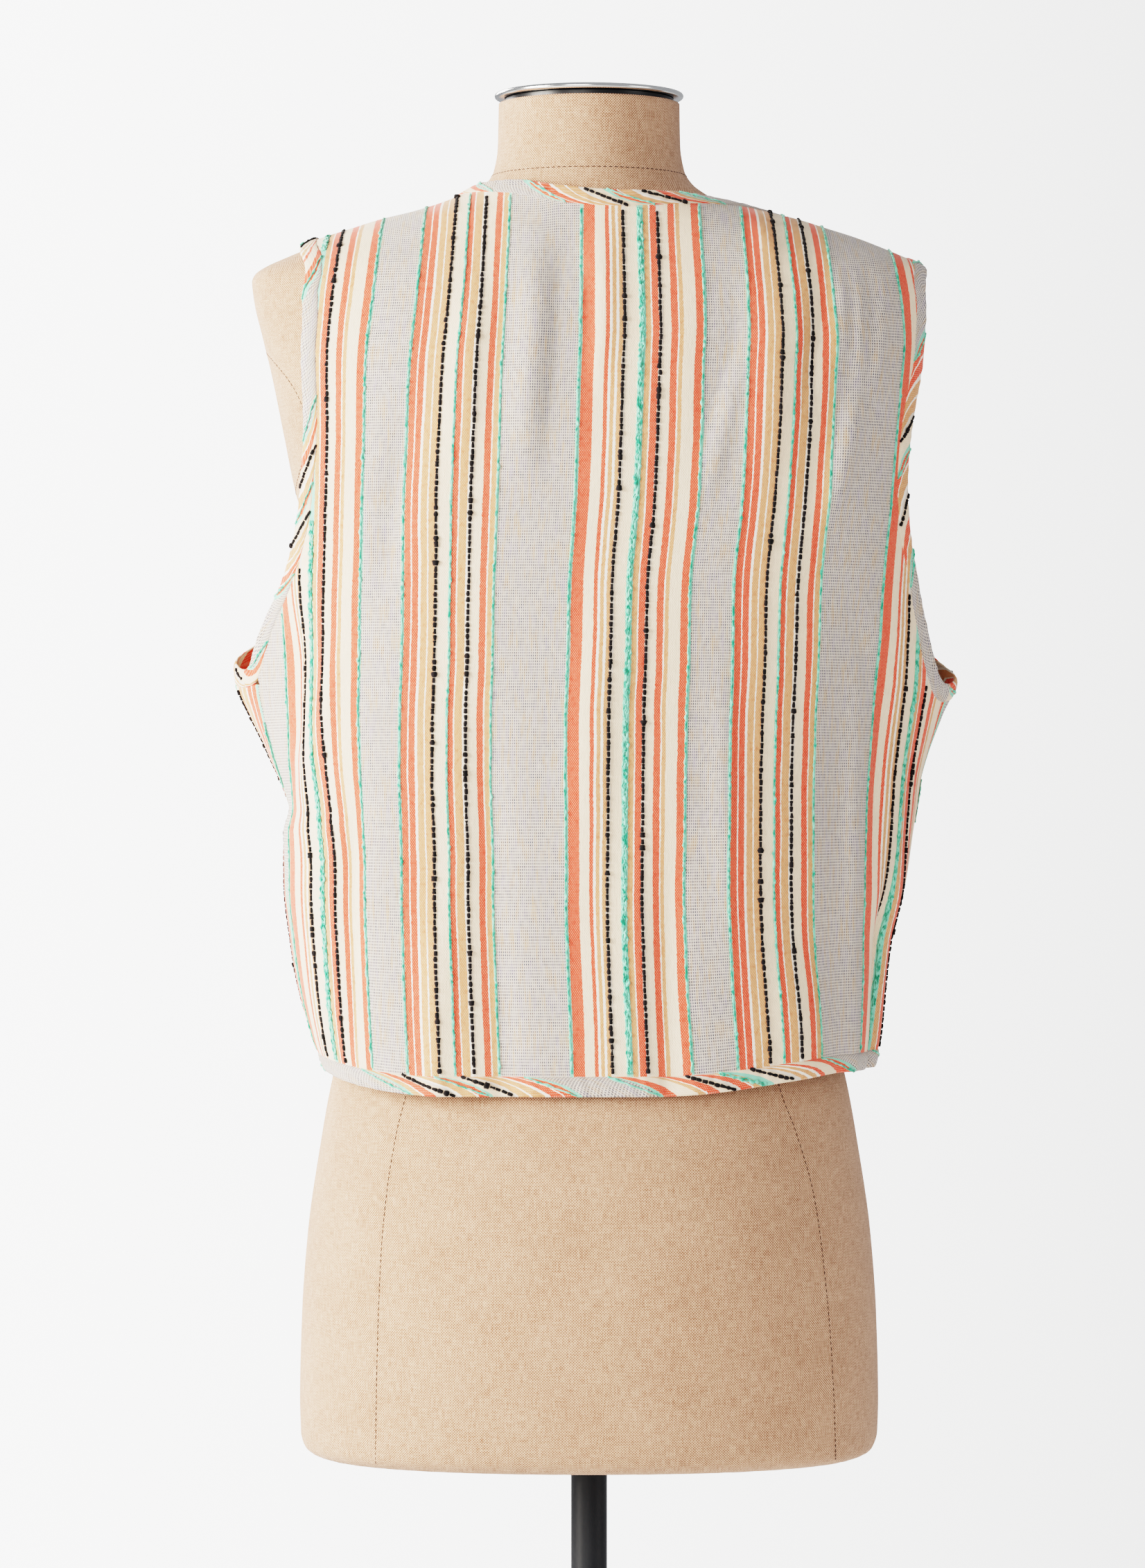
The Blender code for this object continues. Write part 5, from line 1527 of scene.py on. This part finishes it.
# Each light as (name, place, target, size, power, colour)
LIGHTS = (
    ("key", (-2.8, -1.15, 1.75), (0.0, 0.0, 1.1), 1.6, 175.0, (1.0, 0.95, 0.87)),
    ("front", (-0.9, -3.6, 2.0), (0.0, 0.0, 1.1), 1.8, 34.0, (1.0, 0.96, 0.90)),
    ("right", (2.7, -1.3, 1.3), (0.0, 0.0, 1.1), 1.4, 10.0, (1.0, 0.97, 0.93)),
    ("behind", (-1.8, 2.0, 2.2), (0.0, 0.0, 1.1), 1.6, 45.0, (1.0, 0.97, 0.94)),
)


def floor():
    """A pale matt disc under the stand."""
    bpy.ops.mesh.primitive_cylinder_add(vertices=96, radius=FLOOR_RADIUS, depth=0.01,
                                        location=(0.0, 0.0, -0.0052))
    disc = bpy.context.object
    disc.name = "floor"
    finish = Finish("floor", roughness=0.7)
    position = finish.position()
    mottle = finish.noise(position, 3.0, 3.0)
    disc.data.materials.append(
        finish.connect(Base_Color=finish.mix(mottle, linear((236, 236, 236)), linear((244, 244, 244)))))


def soft_light(name, place, target, size, power, colour):
    light = bpy.data.lights.new(name, "AREA")
    light.shape = "SQUARE"
    light.size, light.energy, light.color = size, power, colour
    lamp = bpy.data.objects.new(name, light)
    bpy.context.scene.collection.objects.link(lamp)
    lamp.location = place
    toward = Vector(target) - Vector(place)
    lamp.rotation_euler = toward.to_track_quat("-Z", "Y").to_euler()


def camera():
    lens = bpy.data.cameras.new("camera")
    lens.lens, lens.sensor_width, lens.clip_end = CAMERA_LENS, 36.0, 50.0
    view = bpy.data.objects.new("camera", lens)
    bpy.context.scene.collection.objects.link(view)
    view.location = CAMERA_PLACE
    view.rotation_euler = (math.pi / 2, 0.0, 0.0)
    bpy.context.scene.camera = view


def world():
    """Near white to the camera, painted brighter to the left and dimmer to the right as light from the
    left falls on a backdrop; a softer white for light.
    """
    made = bpy.data.worlds.new("studio")
    made.use_nodes = True
    tree = made.node_tree
    background, output = tree.nodes["Background"], tree.nodes["World Output"]
    shown = tree.nodes.new("ShaderNodeBackground")
    path = tree.nodes.new("ShaderNodeLightPath")
    mixer = tree.nodes.new("ShaderNodeMixShader")
    background.inputs["Color"].default_value = linear((240, 242, 246))
    background.inputs["Strength"].default_value = 0.42
    shown.inputs["Color"].default_value = linear((255, 255, 254))
    # Painted light on the backdrop seen by the camera: brighter to the left, where the key light falls,
    # dimmer to the right.
    place = tree.nodes.new("ShaderNodeTexCoord")
    split = tree.nodes.new("ShaderNodeSeparateXYZ")
    slope = tree.nodes.new("ShaderNodeMath")
    slope.operation = "MULTIPLY_ADD"
    slope.inputs[1].default_value, slope.inputs[2].default_value = -6.0, 2.1
    held = tree.nodes.new("ShaderNodeClamp")
    held.inputs["Min"].default_value, held.inputs["Max"].default_value = 1.4, 3.0
    tree.links.new(place.outputs["Generated"], split.inputs[0])
    tree.links.new(split.outputs["X"], slope.inputs[0])
    tree.links.new(slope.outputs[0], held.inputs["Value"])
    tree.links.new(held.outputs[0], shown.inputs["Strength"])
    tree.links.new(path.outputs["Is Camera Ray"], mixer.inputs[0])
    tree.links.new(background.outputs[0], mixer.inputs[1])
    tree.links.new(shown.outputs[0], mixer.inputs[2])
    tree.links.new(mixer.outputs[0], output.inputs["Surface"])
    bpy.context.scene.world = made


floor()
for row in LIGHTS:
    soft_light(*row)
camera()
world()
bpy.context.scene.view_settings.view_transform = "Filmic"
bpy.context.scene.view_settings.look = "Very High Contrast"
